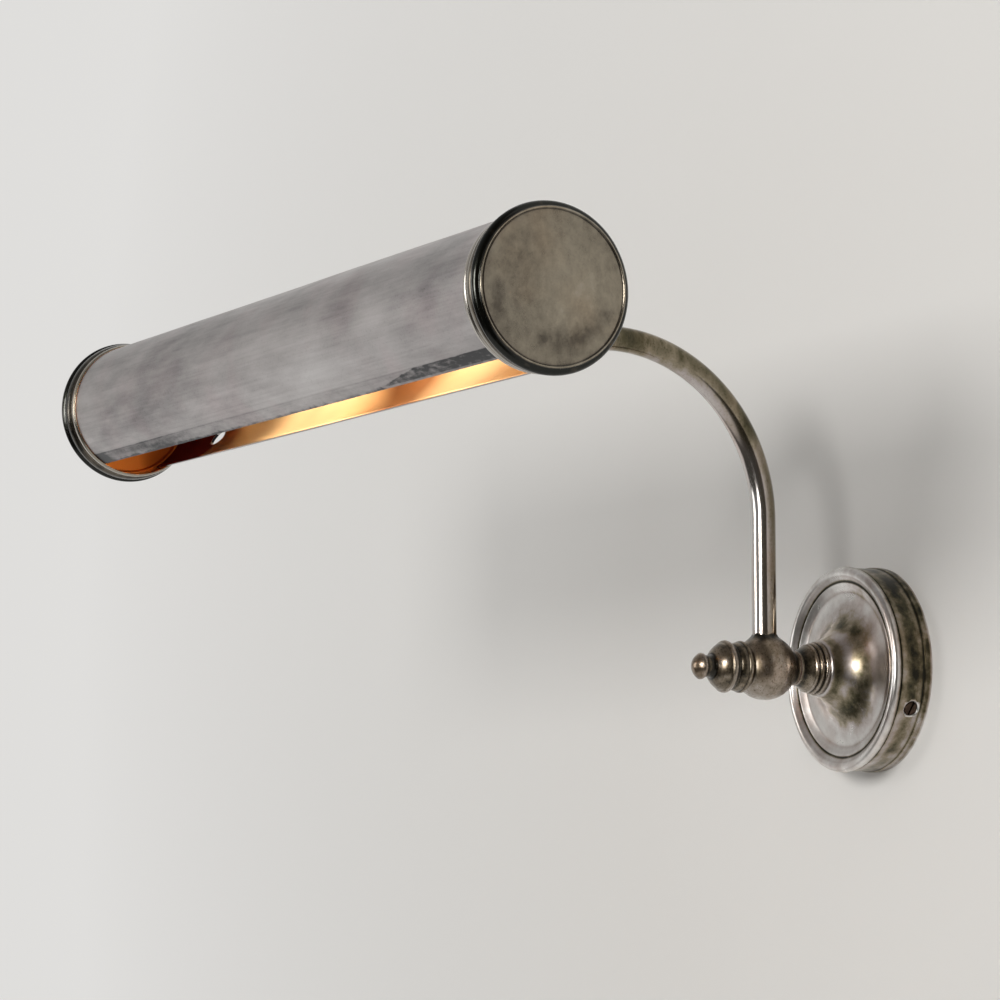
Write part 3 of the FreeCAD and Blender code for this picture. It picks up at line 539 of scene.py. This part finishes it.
def glowingGlass(name, glow):
    # A frosted lamp that is lit: brightest round its middle and dimmer at both ends, by distance along X
    material, tree, shader, where = newMaterial(name)
    outward = work(tree, "ABSOLUTE", alongX(tree, where))
    fromMiddle = work(tree, "ABSOLUTE", work(tree, "SUBTRACT", outward, glow["middle"]))
    frost = noise(tree, where, 2500, 2)
    feed(tree, shader, {
        "Emission Color": blend(tree, frost, glow["core"], glow["edge"]),
        "Emission Strength": spread(tree, fromMiddle, 0, glow["reach"], glow["strength"], glow["faint"]),
        "Roughness": spread(tree, frost, 0.3, 0.7, 0.35, 0.5),
        "Normal": bumped(tree, frost, 0.2, 0.02), "Base Color": glow["body"],
    })
    return material


tubeNickel = agedNickel("brushed aged nickel", tubeLook)
armNickel = agedNickel("polished aged nickel", armLook)
canopyNickel = agedNickel("spun aged nickel", canopyLook)
castNickel = agedNickel("cast aged nickel", castLook)
capNickel = agedNickel("dark aged nickel", capLook)
tubeInside = warmLacquer("lacquered inside", tubeLacquer)
capInside = warmLacquer("lacquered cap", capLacquer)
litGlass = glowingGlass("lit frosted glass", lampGlow)
zincSteel = mottled("zinc plated steel", (0.62, 0.63, 0.64), (0.45, 0.46, 0.48), 0.3, 0.5)
screwSteel = mottled("dark screw steel", (0.085, 0.055, 0.04), (0.035, 0.022, 0.016), 0.3, 0.5)
turnedBrass = mottled("turned brass", (0.72, 0.55, 0.28), (0.55, 0.38, 0.17), 0.25, 0.4)
capMetal = mottled("pressed lamp cap", (0.72, 0.7, 0.66), (0.55, 0.53, 0.5), 0.25, 0.45)
filamentWire = mottled("lamp wires", (0.4, 0.37, 0.33), (0.25, 0.23, 0.21), 0.4, 0.6)
fibre = mottled("red fibre", (0.16, 0.07, 0.05), (0.1, 0.05, 0.04), 0.6, 0.8, 500, 0)
terminalPlastic = mottled("terminal plastic", (0.8, 0.78, 0.71), (0.74, 0.71, 0.64), 0.4, 0.55, 200, 0)
holderPlastic = mottled("brown moulding", (0.05, 0.032, 0.022), (0.028, 0.02, 0.016), 0.25, 0.4, 160, 0)
leadSleeve = mottled("sleeved lead", (0.7, 0.67, 0.6), (0.6, 0.57, 0.5), 0.5, 0.7, 900, 0)
print("materials made")

# Canopy: a spun cover with a bead, a groove, a shallow dish and a bell

canopy = {"radius": 42.2, "wall": 1.2, "side": 41.7, "beadOut": 15.9, "beadMiddle": 40, "bead": 2.2,
          "groove": 36.1, "dish": 14.7, "bellFoot": 28.4, "bellTop": 28.3, "bellRadius": 11.6, "bore": 5.2,
          "screwOut": 7.6, "screwTurn": -25, "screwHole": 3.1, "screwSlot": 75}


def onBead(angle):
    # A point of the profile on the bead's circle
    return tuple((canopy["beadOut"], canopy["beadMiddle"]) + canopy["bead"] * compass(angle))


dish, groove, foot, top = canopy["dish"], canopy["groove"], canopy["bellFoot"], canopy["bellTop"]
wall, side, beadOut, bellRadius = canopy["wall"], canopy["side"], canopy["beadOut"], canopy["bellRadius"]
innerSide = side - wall
canopySteps = [
    (0, innerSide), (0, canopy["radius"]), (3.1, canopy["radius"]), (3.6, side),
    (beadOut - 2.2, side), onBead(142), onBead(45) + onBead(-50),
    (beadOut + 0.5, groove + 0.8), (beadOut, groove + 0.2), (beadOut, groove - 0.2),
    (beadOut + 0.4, groove - 0.6),
    (dish + 0.3, groove - 3.4, dish, foot + 3.5), (dish + 0.05, foot + 1.3, dish + 0.25, foot - 0.8),
    (dish + 4.4, foot - 10.8, top - 0.6, bellRadius), (top, bellRadius - 0.5),
    (top, canopy["bore"]), (top - wall, canopy["bore"]), (top - wall, bellRadius - wall - 0.2),
    (dish + 3.7, foot - 11.6, dish - 0.6, foot - 0.4), (dish - wall, foot + 0.9), (dish - wall, groove - 2),
    (beadOut - 1.3, groove - 0.3), (beadOut - 1, groove + 2.1),
    (beadOut - 1.2, innerSide - 0.6, beadOut - 2.7, innerSide),
]
canopyRings = [
    (8.5, 41.7, 5, 0.7), (1.4, 42.2, 1.3, 0.56), (3.3, 42, 0.9, 0.3), (14.6, 42, 1.4, 0.38),
    (16.9, 38, 0.7, 0.16), (beadOut, groove, 0.9, 0.48), (15.3, 33.8, 1.6, 0.15), (15.1, 26, 3.5, 0.1),
    (17.6, 40.4, 2.2, 0.3), (18.5, 19, 5, 0.45), (26.5, 12.4, 3.5, 0.5),
]
# The dark marks on the bell are painted reflections of the arm and ball, and the light one on the bead at the
# right is a painted highlight
canopyMarks = [
    (34, -9, -28, 15, -0.12), (22, -9, -38, 16, -0.14), (24, -9, 34, 16, 0.1), (12, -18, -17, 13, 0.32),
    (39, -17.5, 5, 12, -0.2), (-6, -20, 13, 7, 0.22), (5, -16, 30, 6, 0.16), (7, -18, 19, 9, 0.12),
    (14, -17, -4, 6, 0.1), (-20, -15, -22, 12, -0.06), (7, -21, 11, 4, -0.14), (-12, -19, -12, 8, -0.18),
]

cover = turnedPiece("wall_canopy", canopySteps, fromWall, soft=0.16, rows=240, columns=192,
                    rings=canopyRings, marks=canopyMarks)
radius, screwFoot = canopy["screwHole"], (0, -canopy["screwOut"], 0)
toolSteps = [(side - 5, 0), (side - 5, radius), (side - 0.5, radius), (side + 1.5, radius + 2.4),
             (side + 1.5, 0)]
holeTools = []
screwAxis = np.insert(compass(canopy["screwTurn"]), 1, 0)
for across in (screwAxis, -screwAxis):
    screwPlace = {"foot": screwFoot, "axis": across, "side": (0, 1, 0), "lift": np.cross(across, (0, 1, 0))}
    holeTools.append(turnedPiece("drill", toolSteps, screwPlace, soft=0.03, rows=40, columns=40, closed=False,
                                 rings=[(side + 0.5, radius + 1.4, 2, 0.14)]))
cutHoles(cover, holeTools)
finishPiece(cover, "wall_mount", [canopyNickel], "canopy")
screws = mergedCopy("side_screws", "canopy_side_screws", (screwFoot, screwAxis, canopy["screwSlot"]))
finishPiece(screws, "wall_mount", [screwSteel], "canopy_side_screws")

# Collar, clamp ring and finial on the ball's axis

collarSteps = [
    (28.3, 5), (28.3, 10.5), (29.4, 11.15, 30.4, 10.25), (30.6, 10), (31.7, 10.5, 32.6, 9.75),
    (32.8, 9.55), (33.8, 9.95, 34.6, 9.3), (34.9, 9.2), (36.8, 8, 38.6, 7), (39.7, 6.95), (39.7, 5),
]
ringSteps = [
    (64.1, 3.05), (64.1, 9.6), (64.3, 10.15), (65.1, 10.55, 66, 10.2), (66.2, 9.95),
    (68.1, 9.6, 69.3, 8.65), (69.4, 8.45), (69.4, 3.05),
]
finialSteps = [
    (80.7, 0), (79.5, 3.05), (69.4, 3.05), (69.4, 8.75), (69.7, 9.05), (71.1, 9.15), (71.4, 9.95),
    (72.5, 10.65, 73.4, 10.3), (73.8, 9.75), (76.4, 8.05, 78.6, 4.8), (79.6, 4.4), (82.1, 4.4), (82.8, 5.2),
    (83.7, 5.4), (86.38, 2.7, 87.2, 0),
]
collarRings = [(38, 7.3, 2, 0.25), (32, 10, 4, 0.14)]
ringRings = [(64.2, 10, 0.7, 0.35), (69.3, 8.8, 1.2, 0.35), (66.6, 9.8, 3, 0.16)]
finialRings = [(70, 9, 1, 0.35), (79.5, 4.4, 1.3, 0.4), (75.5, 8.5, 4, 0.12), (85, 4, 3, 0.1)]
turnedParts = [
    ("stem_collar", collarSteps, collarRings, "wall_mount", "collar", True),
    ("ball_clamp", ringSteps, ringRings, "clamp", "clamp_ring", True),
    ("finial", finialSteps, finialRings, "finial", "finial_nut", False),
]
for name, steps, rings, body, node, closed in turnedParts:
    part = turnedPiece(name, steps, fromWall, soft=0.1, rows=130, columns=96, closed=closed, rings=rings)
    finishPiece(part, body, [castNickel], node)

# Ball, with the brazing drawn up round the foot of the arm, which stands in a hole

ballSteps = [
    (40.1, 5.1), (40.1, 7), (40.4, 7.15), (41, 7.15), (42.4, 7.8, 43.9, 9.24), (53.4, 13.25, 63.7, 8.34),
    (63.7, 5.1),
]
ballMarks = [(0, -53, 12.5, 6.5, 0.22), (4, -41, 0, 8, 0.15), (2, -56, -12, 8, -0.1)]
brazing = {"out": 53.4, "radius": 5, "height": 1.3, "reach": 0.75, "stainAndShade": 0.4, "above": 8,
           "waves": [(0.22, 5, 1), (0.13, 9, 0)], "hole": 5.03, "from": 3, "to": 20}


def drawUp(piece):
    # A point above the ball's middle rises by height * exp(-d / reach), d being how far it lies outside the
    # arm's skin. Two sines round the arm make that uneven. The stain grows with the square root of that share
    mesh = piece.data
    points = placesOf(mesh)
    across = points[:, :2] + (0, brazing["out"])
    turn = np.arctan2(across[:, 1], across[:, 0])
    outside = np.maximum(np.hypot(*across.T) - brazing["radius"], 0)
    share = np.exp(-outside / brazing["reach"]) * (points[:, 2] > brazing["above"])
    uneven = 1 + sum(depth * np.sin(count * turn + shift) for depth, count, shift in brazing["waves"])
    points[:, 2] += brazing["height"] * share * uneven
    mesh.vertices.foreach_set("co", (points * mm).reshape(-1))
    stainAndShade = np.zeros(len(points), np.float32)
    mesh.attributes["stainAndShade"].data.foreach_get("value", stainAndShade)
    stainAndShade += (brazing["stainAndShade"] * np.sqrt(share) * uneven).astype(np.float32)
    mesh.attributes["stainAndShade"].data.foreach_set("value", stainAndShade)
    mesh.update()


ball = turnedPiece("pivot_ball", ballSteps, fromWall, soft=0.12, rows=200, columns=200, marks=ballMarks)
drawUp(ball)
armHole = {"foot": (0, -brazing["out"], 0), "axis": (0, 0, 1), "side": (1, 0, 0), "lift": (0, 1, 0)}
cutHoles(ball, [drillRod(armHole, brazing["from"], brazing["to"], brazing["hole"], 64)])
finishPiece(ball, "arm", [castNickel], "swivel_ball")

# Tilt swivel and saddle keep their CAD shape

copies = [("tilt_joint_arm", "tilt_swivel_arm_half", "arm"), ("saddle", "shade_saddle", "shade"),
          ("tilt_joint_shade", "tilt_swivel_shade_half", "shade")]
for name, node, body in copies:
    finishPiece(mergedCopy(name, node), body, [castNickel], node)

# Arm: a rise, one bend and a straight run, all in the plane across X

arm = {"out": 53.4, "foot": 8.4, "rise": 60.3, "bend": 70.5, "turn": 97, "run": 65.6, "radius": 5,
       "wall": 1, "columns": 64}
# The arm is darkened on the side turned away from the lamps, a painted shade, and at the marks along the bend
armMarks = [(0, -53.4, 12, 6, 0.15), (0, -64, 97, 15, 0.2), (0, -98, 125, 22, 0.26), (0, -130, 131, 24, 0.2)]
armShadeAndMarks = {"side": (0.75, 0.66, 0), "depth": 0.34, "marks": armMarks}
rise = np.stack([np.zeros(30), np.full(30, -arm["out"]), np.linspace(arm["foot"], arm["rise"], 30)], 1)
turn = np.radians(np.linspace(0, arm["turn"], 90))
bend = np.stack([0 * turn, -arm["out"] - arm["bend"] * (1 - np.cos(turn)),
                 arm["rise"] + arm["bend"] * np.sin(turn)], 1)
heading = np.array([0, -cos(lean), -sin(lean)])
run = bend[-1] + np.linspace(0, arm["run"], 36)[:, None] * heading
armPath = np.concatenate([rise, bend[1:], run[1:]])
pipe = sweptPipe("arm", armPath, np.array([1, 0, 0]), arm["radius"], arm["radius"] - arm["wall"],
                 arm["columns"], armShadeAndMarks)
finishPiece(pipe, "arm", [armNickel], "arm_tube")
print("arm and wall pieces made")

# Shade tube: a rolled sheet whose section is a long thin loop from one slot edge round to the other

shade = {"radius": 27.5, "wall": 1, "half": 196, "slot": 59.6, "slotMiddle": -89.8, "inside": 26.95,
         "wave": 0.035, "waves": [(1, 3, 37, 0), (0.6, 5, -23, 1), (0.5, 2, 11, 0)],
         "endShadow": 1.3, "endShadowX": -144, "endShadowSoft": 5, "ambers": [(44, 27, 1), (-136, 9, 0.5)],
         "ventX": 147.5, "ventRadius": 3.7, "ventStretch": 1.55, "ventTurn": -34,
         "entryRadius": 5.1, "entryTurn": 7, "drillFrom": 15, "drillTo": 40}
# Each is a place along the tube, an angle round it, a reach and a depth. Most darken the upper front and
# lighten the lower front, a painted shade and a painted highlight; the rest are smudges
tubeSmudgesAndSheen = [
    (88, 170, 11, 0.16), (72, 174, 10, 0.12), (156, 176, 11, 0.18), (132, 174, 10, 0.1), (38, 145, 26, 0.08),
    (-80, 148, 34, 0.07), (161, 150, 20, 0.1), (-150, -178, 14, 0.08), (10, 179, 14, -0.08),
    (45, -147, 22, -0.14), (66, -145, 16, -0.1), (154, -165, 12, -0.12), (-60, -158, 24, -0.05),
    (116, -160, 16, -0.08), (-103, -168, 16, 0.06), (-120, -140, 20, 0.05), (-110, 165, 75, 0.1),
    (-182, -124, 7, 0.45), (165, 165, 30, 0.06),
]


def onTube(x, turn, reach, depth):
    # A mark on the tube's skin at a place along it and an angle round it
    return (x, *(shadeCentre[1:] + shade["radius"] * compass(turn)), reach, depth)


def rolledSheet(name, runs=150, noses=8, columns=170):
    # In the section p is the distance round the middle of the wall and q the height off it. The loop goes
    # out along q = +half, round a half circle, back along q = -half and round another. The angle is p over
    # the middle radius, and the radius is the middle one plus q and a slight wave made of three sines
    middle, half = shade["radius"] - shade["wall"] / 2, shade["wall"] / 2
    start = radians(shade["slotMiddle"] + shade["slot"] / 2)
    length = radians(360 - shade["slot"]) * middle
    straight = np.linspace(half, length - half, runs)
    nose = np.linspace(pi / 2, -pi / 2, noses + 2)[1:-1]
    bulge = half * np.cos(nose)
    p = np.concatenate([straight, length - half + bulge, straight[::-1], half - bulge])
    q = half * np.concatenate([np.ones(runs), np.sin(nose), -np.ones(runs), -np.sin(nose)])
    angle = (start + p / middle)[:, None]
    x = np.linspace(-shade["half"], shade["half"], columns)[None, :]
    wave = sum(share * np.sin(count * angle + x / pitch + shift)
               for share, count, pitch, shift in shade["waves"])
    radius = (middle + q)[:, None] + shade["wave"] * wave
    sheet = [x + 0 * angle, shadeCentre[1] + radius * np.cos(angle), shadeCentre[2] + radius * np.sin(angle)]
    points = np.stack(sheet, -1).reshape(-1, 3)
    rows = len(p)
    # At each end every outer point is joined to the inner point opposite it
    outer = np.arange(-noses // 2, runs + noses // 2) % rows
    inner = (2 * runs + noses - 1 - outer) % rows
    strip = np.stack([outer[:-1], outer[1:], inner[1:], inner[:-1]], 1) * columns
    faces = [gridFaces(rows, columns, closedColumns=False), strip, strip[:, ::-1] + columns - 1]
    # Walked is the distance from the front edge. The inner skin has a painted shadow at the left end, behind
    # the lampholder, and painted dim amber light next to that and again to the right of the middle
    within = (q <= 0)[:, None]
    endShadow = shade["endShadow"] / (1 + np.exp((x - shade["endShadowX"]) / shade["endShadowSoft"])) * within
    amber = sum(share * np.exp(-((x - place) / reach) ** 2) for place, reach, share in shade["ambers"])
    spots = bellSpots(points, [onTube(*spot) for spot in tubeSmudgesAndSheen]).reshape(rows, columns) * (1 - within)
    values = {"walked": np.repeat(length - p, columns), "amber": (amber * within).reshape(-1),
              "stainAndShade": (spots + endShadow).reshape(-1)}
    return meshFromArrays(name, points, faces, values)


def shadeDrill(x, turn, radius, stretch=1):
    # A rod that crosses the tube's wall on one side of its axis, stretched along the tube
    across = np.array([0, *compass(turn)])
    place = {"foot": shadeCentre + (x, 0, 0), "axis": across, "side": (stretch, 0, 0),
             "lift": np.cross(across, (1, 0, 0))}
    return drillRod(place, shade["drillFrom"], shade["drillTo"], radius, 48)


def fromShadeAxis(places):
    # How far places lie from the tube's axis
    return np.hypot(places[:, 1] - shadeCentre[1], places[:, 2] - shadeCentre[2])


def insideTube(middles):
    # True nearer to the axis than about the middle of the wall
    return fromShadeAxis(middles) < shade["inside"]


tube = rolledSheet("shade_tube_sheet")
drills = [shadeDrill(x, shade["ventTurn"], shade["ventRadius"], shade["ventStretch"])
          for x in (-shade["ventX"], shade["ventX"])]
cutHoles(tube, drills + [shadeDrill(0, shade["entryTurn"], shade["entryRadius"])])
finishPiece(tube, "shade", [tubeNickel, tubeInside], "shade_tube", inside=insideTube)

# End caps: two beads, a quarter round and a fine ridge round a slightly domed face

capSteps = [
    (198.9, 0), (198.72, 12.55, 198.1, 25.1), (196, 25.7), (196, 27.55), (186.3, 27.55), (186.3, 27.9),
    (188, 28.5, 189.6, 28), (189.9, 28), (192.6, 29.3, 195.1, 28.9), (195.4, 29.3), (195.9, 29.85),
    (196.4, 30), (197.8, 29.5, 198.5, 28.3), (198.8, 27.9), (199.1, 27.9), (199.5, 27.6, 199.3, 27.1),
    (199, 26.8), (199.2, 26.5), (199.8, 13.25, 200, 0),
]
# The strongest ring, the near-black band round the rim, is a painted reflection of a dark room
capRings = [
    (197.3, 29.5, 2.1, 0.66), (191.2, 28.3, 0.8, 0.35), (199.2, 27.7, 0.8, 0.32), (187, 28, 0.8, 0.1),
    (188.8, 28.4, 1.2, -0.22), (193.2, 29.3, 1.8, 0.1), (195.3, 29.3, 0.5, -0.3), (199.5, 27.5, 0.4, -0.3),
]
# The left cap's own rings darken it against the right one, a painted shade
leftCapShade = [(188, 28.5, 2.4, -0.08), (195, 29.5, 3.5, 0.36)]
capMarks = [
    (199.7, -275.8, 106, 3, 0.1), (199.7, -276.8, 113, 3.5, 0.09), (199.7, -274, 100.5, 4, 0.05),
    (199.7, -258.5, 97.4, 2.5, 0.12), (199.7, -252.5, 97, 4, 0.11), (199.7, -246, 97.6, 4.5, 0.12),
    (199.7, -240.5, 101, 4, 0.11), (199.7, -234.5, 107, 3.5, 0.08), (199.7, -236.5, 104, 3, 0.07),
    (199.7, -268, 127, 9, 0.05), (199.7, -254, 130, 10, -0.03), (199.7, -246, 116, 12, -0.04),
]
# A painted shadow on the left cap's inner face, where its amber falls to the shadow tone
capFaceShadow = [(-198.7, -238, 95, 11, -0.95)]
capHollow = {"out": 198.95, "radius": 27.7}


def insideCap(middles):
    # True between the two faces and within the collars
    return (np.abs(middles[:, 0]) < capHollow["out"]) & (fromShadeAxis(middles) < capHollow["radius"])


for name, place, rings in (("left", capLeft, capRings + leftCapShade), ("right", capRight, capRings)):
    cap = turnedPiece("shade_cap_" + name, capSteps, place, soft=0.12, rows=230, columns=160, closed=False,
                      rings=rings, marks=capMarks)
    amber = 1 + bellSpots(placesOf(cap.data), capFaceShadow)
    cap.data.attributes.new("amber", "FLOAT", "POINT").data.foreach_set("value", amber.astype(np.float32))
    finishPiece(cap, "shade", [capNickel, capInside], "end_cap_" + name, inside=insideCap)
print("shade made")

# Small and inner pieces keep their CAD mesh, with its corners welded and its sharp edges split


def bothSides(*names):
    # Each name once for the left and once for the right
    return [name + side for name in names for side in ("_left", "_right")]


dressing = [
    (zincSteel, "zinc_steel", [
        "wall_bracket", "bracket_lugs", "stem_washer", "lamp_bar", "inner_washer", "tilt_spring_washer",
        "earth_washer"]),
    (screwSteel, "screw_steel", ["terminal_screws", "terminal_fixing_screw", "earth_screw", "tilt_screw"]),
    (turnedBrass, "turned_brass", [
        "spigot", "stem_nut", "shade_nipple", "inner_nut", "lampholder_nuts", "lampholder_nipples",
        "terminal_inserts", "lampholder_shells", "lampholder_contacts"]),
    (fibre, "fibre", ["rear_fibre_washer", "front_fibre_washer", "tilt_fibre_disc"]),
    (terminalPlastic, "terminal_plastic", ["terminal_block"]),
    (holderPlastic, "holder_plastic",
     bothSides("lampholder_base", "lampholder_body") + ["lampholder_inserts"]),
    (capMetal, "cap_metal", bothSides("bulb_cap")),
    (litGlass, "frosted_glass", bothSides("bulb_glass")),
    (filamentWire, "filament_wire", bothSides("bulb_filament")),
    (leadSleeve, "lead_sleeve", ["stem_lead", "arm_lead"] + bothSides("shade_lead")),
]
mending = {"weld": 0.005, "split": 30}
for material, slot, names in dressing:
    for name in names:
        piece = nodes[name]
        piece.data.materials.clear()
        piece.data.materials.append(material)
        piece.data.polygons.foreach_set("use_smooth", np.ones(len(piece.data.polygons), bool))
        piece.modifiers.new("weld", "WELD").merge_threshold = mending["weld"] * mm
        piece.modifiers.new("split", "EDGE_SPLIT").split_angle = radians(mending["split"])
print("CAD nodes dressed")

# Stage: a pale wall, open behind the backplate and seen from the front only, and a pale floor

room = {"rings": [41.3, 60, 150, 500, 1500, 5000], "columns": 96, "reach": 5000, "floor": -2400,
        "paint": (0.85, 0.84, 0.823), "shaded": 0.985, "even": (0.765, 0.757, 0.742, 1),
        "evenFrom": 0.21, "evenTo": 0.93, "evenShare": 0.9, "dim": (0.07, 0.068, 0.062, 1),
        "dimFrom": 3.7, "dimTo": 4.4, "dimLeft": -3.6, "dimRight": -3}


def seenOrMirrored(tree):
    # 1 for rays from the camera, and for rays that metal or glass sends on
    path = put(tree, "LightPath").outputs
    either = work(tree, "MAXIMUM", path["Is Camera Ray"], path["Is Glossy Ray"])
    return work(tree, "MAXIMUM", either, path["Is Transmission Ray"])


def wallPaint(name, oneSided):
    # Near the wall light it is paint, lit by the lamps. Further off it turns to an even tone, by distance
    material, tree, shader, where = newMaterial(name)
    darker = tuple(room["shaded"] * value for value in room["paint"])
    colour = blend(tree, noise(tree, where, 14, 5), room["paint"] + (1,), darker + (1,))
    feed(tree, shader, {"Base Color": colour, "Roughness": 0.85, "Specular IOR Level": 0.2})
    away = put(tree, "VectorMath", {0: where}, operation="LENGTH").outputs["Value"]
    share = spread(tree, away, room["evenFrom"], room["evenTo"], 0, room["evenShare"])
    share = work(tree, "MULTIPLY", share, seenOrMirrored(tree))
    even = room["even"]
    if not oneSided:
        # Metal mirrors the far part of the floor as dim, except at the left
        x = put(tree, "SeparateXYZ", {0: where}).outputs[0]
        dim = work(tree, "MULTIPLY", spread(tree, away, room["dimFrom"], room["dimTo"]),
                   spread(tree, x, room["dimLeft"], room["dimRight"]))
        dim = work(tree, "MULTIPLY", dim, put(tree, "LightPath").outputs["Is Glossy Ray"])
        even = blend(tree, dim, even, room["dim"])
    even = put(tree, "Emission", {"Color": even}).outputs[0]
    surface = put(tree, "MixShader", {0: share, 1: shader.outputs[0], 2: even}).outputs[0]
    if oneSided:
        behind = put(tree, "NewGeometry").outputs["Backfacing"]
        clear = put(tree, "BsdfTransparent").outputs[0]
        surface = put(tree, "MixShader", {0: behind, 1: surface, 2: clear}).outputs[0]
    tree.links.new(surface, tree.nodes["Material Output"].inputs["Surface"])
    return material


def stagePiece(name, corners, faces, oneSided):
    # A sheet of the room, from corners in millimetres
    mesh = bpy.data.meshes.new(name)
    mesh.from_pydata((corners * mm).tolist(), [], faces)
    mesh.materials.append(wallPaint(name + " paint", oneSided))
    thing = bpy.data.objects.new(name, mesh)
    show(thing)
    return mesh


radii = np.array(room["rings"], float)[:, None]
turn = allRound(room["columns"])[None, :]
disc = np.stack([radii * np.cos(turn), 0 * radii * turn, radii * np.sin(turn)], -1).reshape(-1, 3)
discFaces = gridFaces(len(radii), room["columns"], closedRows=False)
backdrop = stagePiece("room_wall", disc, discFaces.tolist(), True)
if backdrop.polygons[0].normal.y > 0:
    backdrop.flip_normals()
reach, low = room["reach"], room["floor"]
corners = np.array([(-reach, 0, low), (reach, 0, low), (reach, -reach, low), (-reach, -reach, low)])
stagePiece("room_floor", corners, [(3, 2, 1, 0)], False)

# Light: two softboxes in front of the wall, to the left and right, and a dim soft room round them

lamps = {"target": (0, -0.15, 0.08), "distance": 2, "lift": 10, "tall": 0.62, "tone": (1, 0.985, 0.96),
         "boxes": [("softbox_left", -28, 0.6, 4.6), ("softbox_right", 29, 0.56, 21)]}
for name, aside, wide, watts in lamps["boxes"]:
    turned, lifted = radians(aside), radians(lamps["lift"])
    away = np.array([sin(turned) * cos(lifted), -cos(turned) * cos(lifted), sin(lifted)])
    panel = bpy.data.lights.new(name, "AREA")
    panel.shape, panel.size, panel.size_y = "RECTANGLE", wide, lamps["tall"]
    panel.energy, panel.color = watts, lamps["tone"]
    softbox = bpy.data.objects.new(name, panel)
    softbox.location = np.array(lamps["target"]) + lamps["distance"] * away
    softbox.rotation_euler = (radians(90) - lifted, 0, turned)
    softbox.visible_camera = False
    show(softbox)

# Metal mirrors a room that is bright to the left, most of all low down, dimmer in front, and dark to the
# right and low in front, and the softboxes' paler skirts below them
sky = {"rightward": (0.985, -0.12, 0.12), "soft": (0.325, 0.32, 0.31, 1), "seen": (0.765, 0.757, 0.742, 1),
       "tones": [(0, (0.6, 0.595, 0.58)), (0.35, (0.42, 0.415, 0.41)), (0.62, (0.24, 0.24, 0.25)),
                 (0.8, (0.16, 0.15, 0.135)), (0.93, (0.085, 0.077, 0.063))],
       "low": {"side": (-0.78, -0.6), "height": (-0.08, -0.18)},
       "lowLeft": {"side": (-0.55, -0.8), "height": (0, -0.38)}, "leftGlow": 0.45,
       "skirts": [((-0.447, -0.894, -0.017), 4.5), ((0.465, -0.885, -0.017), 9)],
       "skirtEdge": (0.9903, 0.993)}


def towards(tree, direction, other):
    # The cosine between two directions
    return put(tree, "VectorMath", {0: direction, 1: other}, operation="DOT_PRODUCT").outputs["Value"]


def brighter(tree, colour, share, much):
    # A colour plus a share of that much white
    return blend(tree, share, colour, (much, much, much, 1), "ADD")


def cornerOf(tree, direction, corner):
    # 1 in a corner of the mirrored room, by how far a direction points to the side and down
    parts = put(tree, "SeparateXYZ", {0: direction}).outputs
    beside, below = spread(tree, parts[0], *corner["side"]), spread(tree, parts[2], *corner["height"])
    return work(tree, "MULTIPLY", below, beside)


world = bpy.data.worlds.new("studio")
world.use_nodes = True
bpy.context.scene.world = world
tree = world.node_tree
tree.nodes.clear()
direction = put(tree, "TexCoord").outputs["Generated"]
sideways = spread(tree, towards(tree, direction, sky["rightward"]), -1, 1)
mirrored = toneRamp(tree, sideways, sky["tones"])
mirrored = blend(tree, cornerOf(tree, direction, sky["low"]), mirrored, room["dim"])
mirrored = brighter(tree, mirrored, cornerOf(tree, direction, sky["lowLeft"]), sky["leftGlow"])
for place, bright in sky["skirts"]:
    near = spread(tree, towards(tree, direction, place), *sky["skirtEdge"])
    mirrored = brighter(tree, mirrored, near, bright)
path = put(tree, "LightPath").outputs
roomTone = blend(tree, path["Is Glossy Ray"], sky["soft"], mirrored)
glow = put(tree, "Background", {"Color": blend(tree, path["Is Camera Ray"], roomTone, sky["seen"])})
put(tree, "OutputWorld", {"Surface": glow.outputs[0]})

# Camera, where the photo's perspective puts it

view = {"place": (1.308772, -0.837785, -0.077218), "azimuth": 63.098, "pitch": 5.479, "roll": -0.209,
        "lens": 134.869, "sensor": 36, "near": 0.05, "far": 50}
azimuth, pitch, roll = (radians(view[key]) for key in ("azimuth", "pitch", "roll"))
forward = np.array([-sin(azimuth) * cos(pitch), cos(azimuth) * cos(pitch), sin(pitch)])
level = np.array([cos(azimuth), sin(azimuth), 0])
upright = np.cross(level, forward)
right = cos(roll) * level + sin(roll) * upright
above = -sin(roll) * level + cos(roll) * upright
lens = bpy.data.cameras.new("camera")
lens.lens, lens.sensor_width, lens.clip_start, lens.clip_end = (
    view[key] for key in ("lens", "sensor", "near", "far"))
camera = bpy.data.objects.new("camera", lens)
stand = np.eye(4)
stand[:3] = np.stack([right, above, -forward, np.array(view["place"])], 1)
camera.matrix_world = Matrix(stand.tolist())
show(camera)
bpy.context.scene.camera = camera
bpy.context.scene.view_settings.view_transform = "Standard"

print("scene ready")
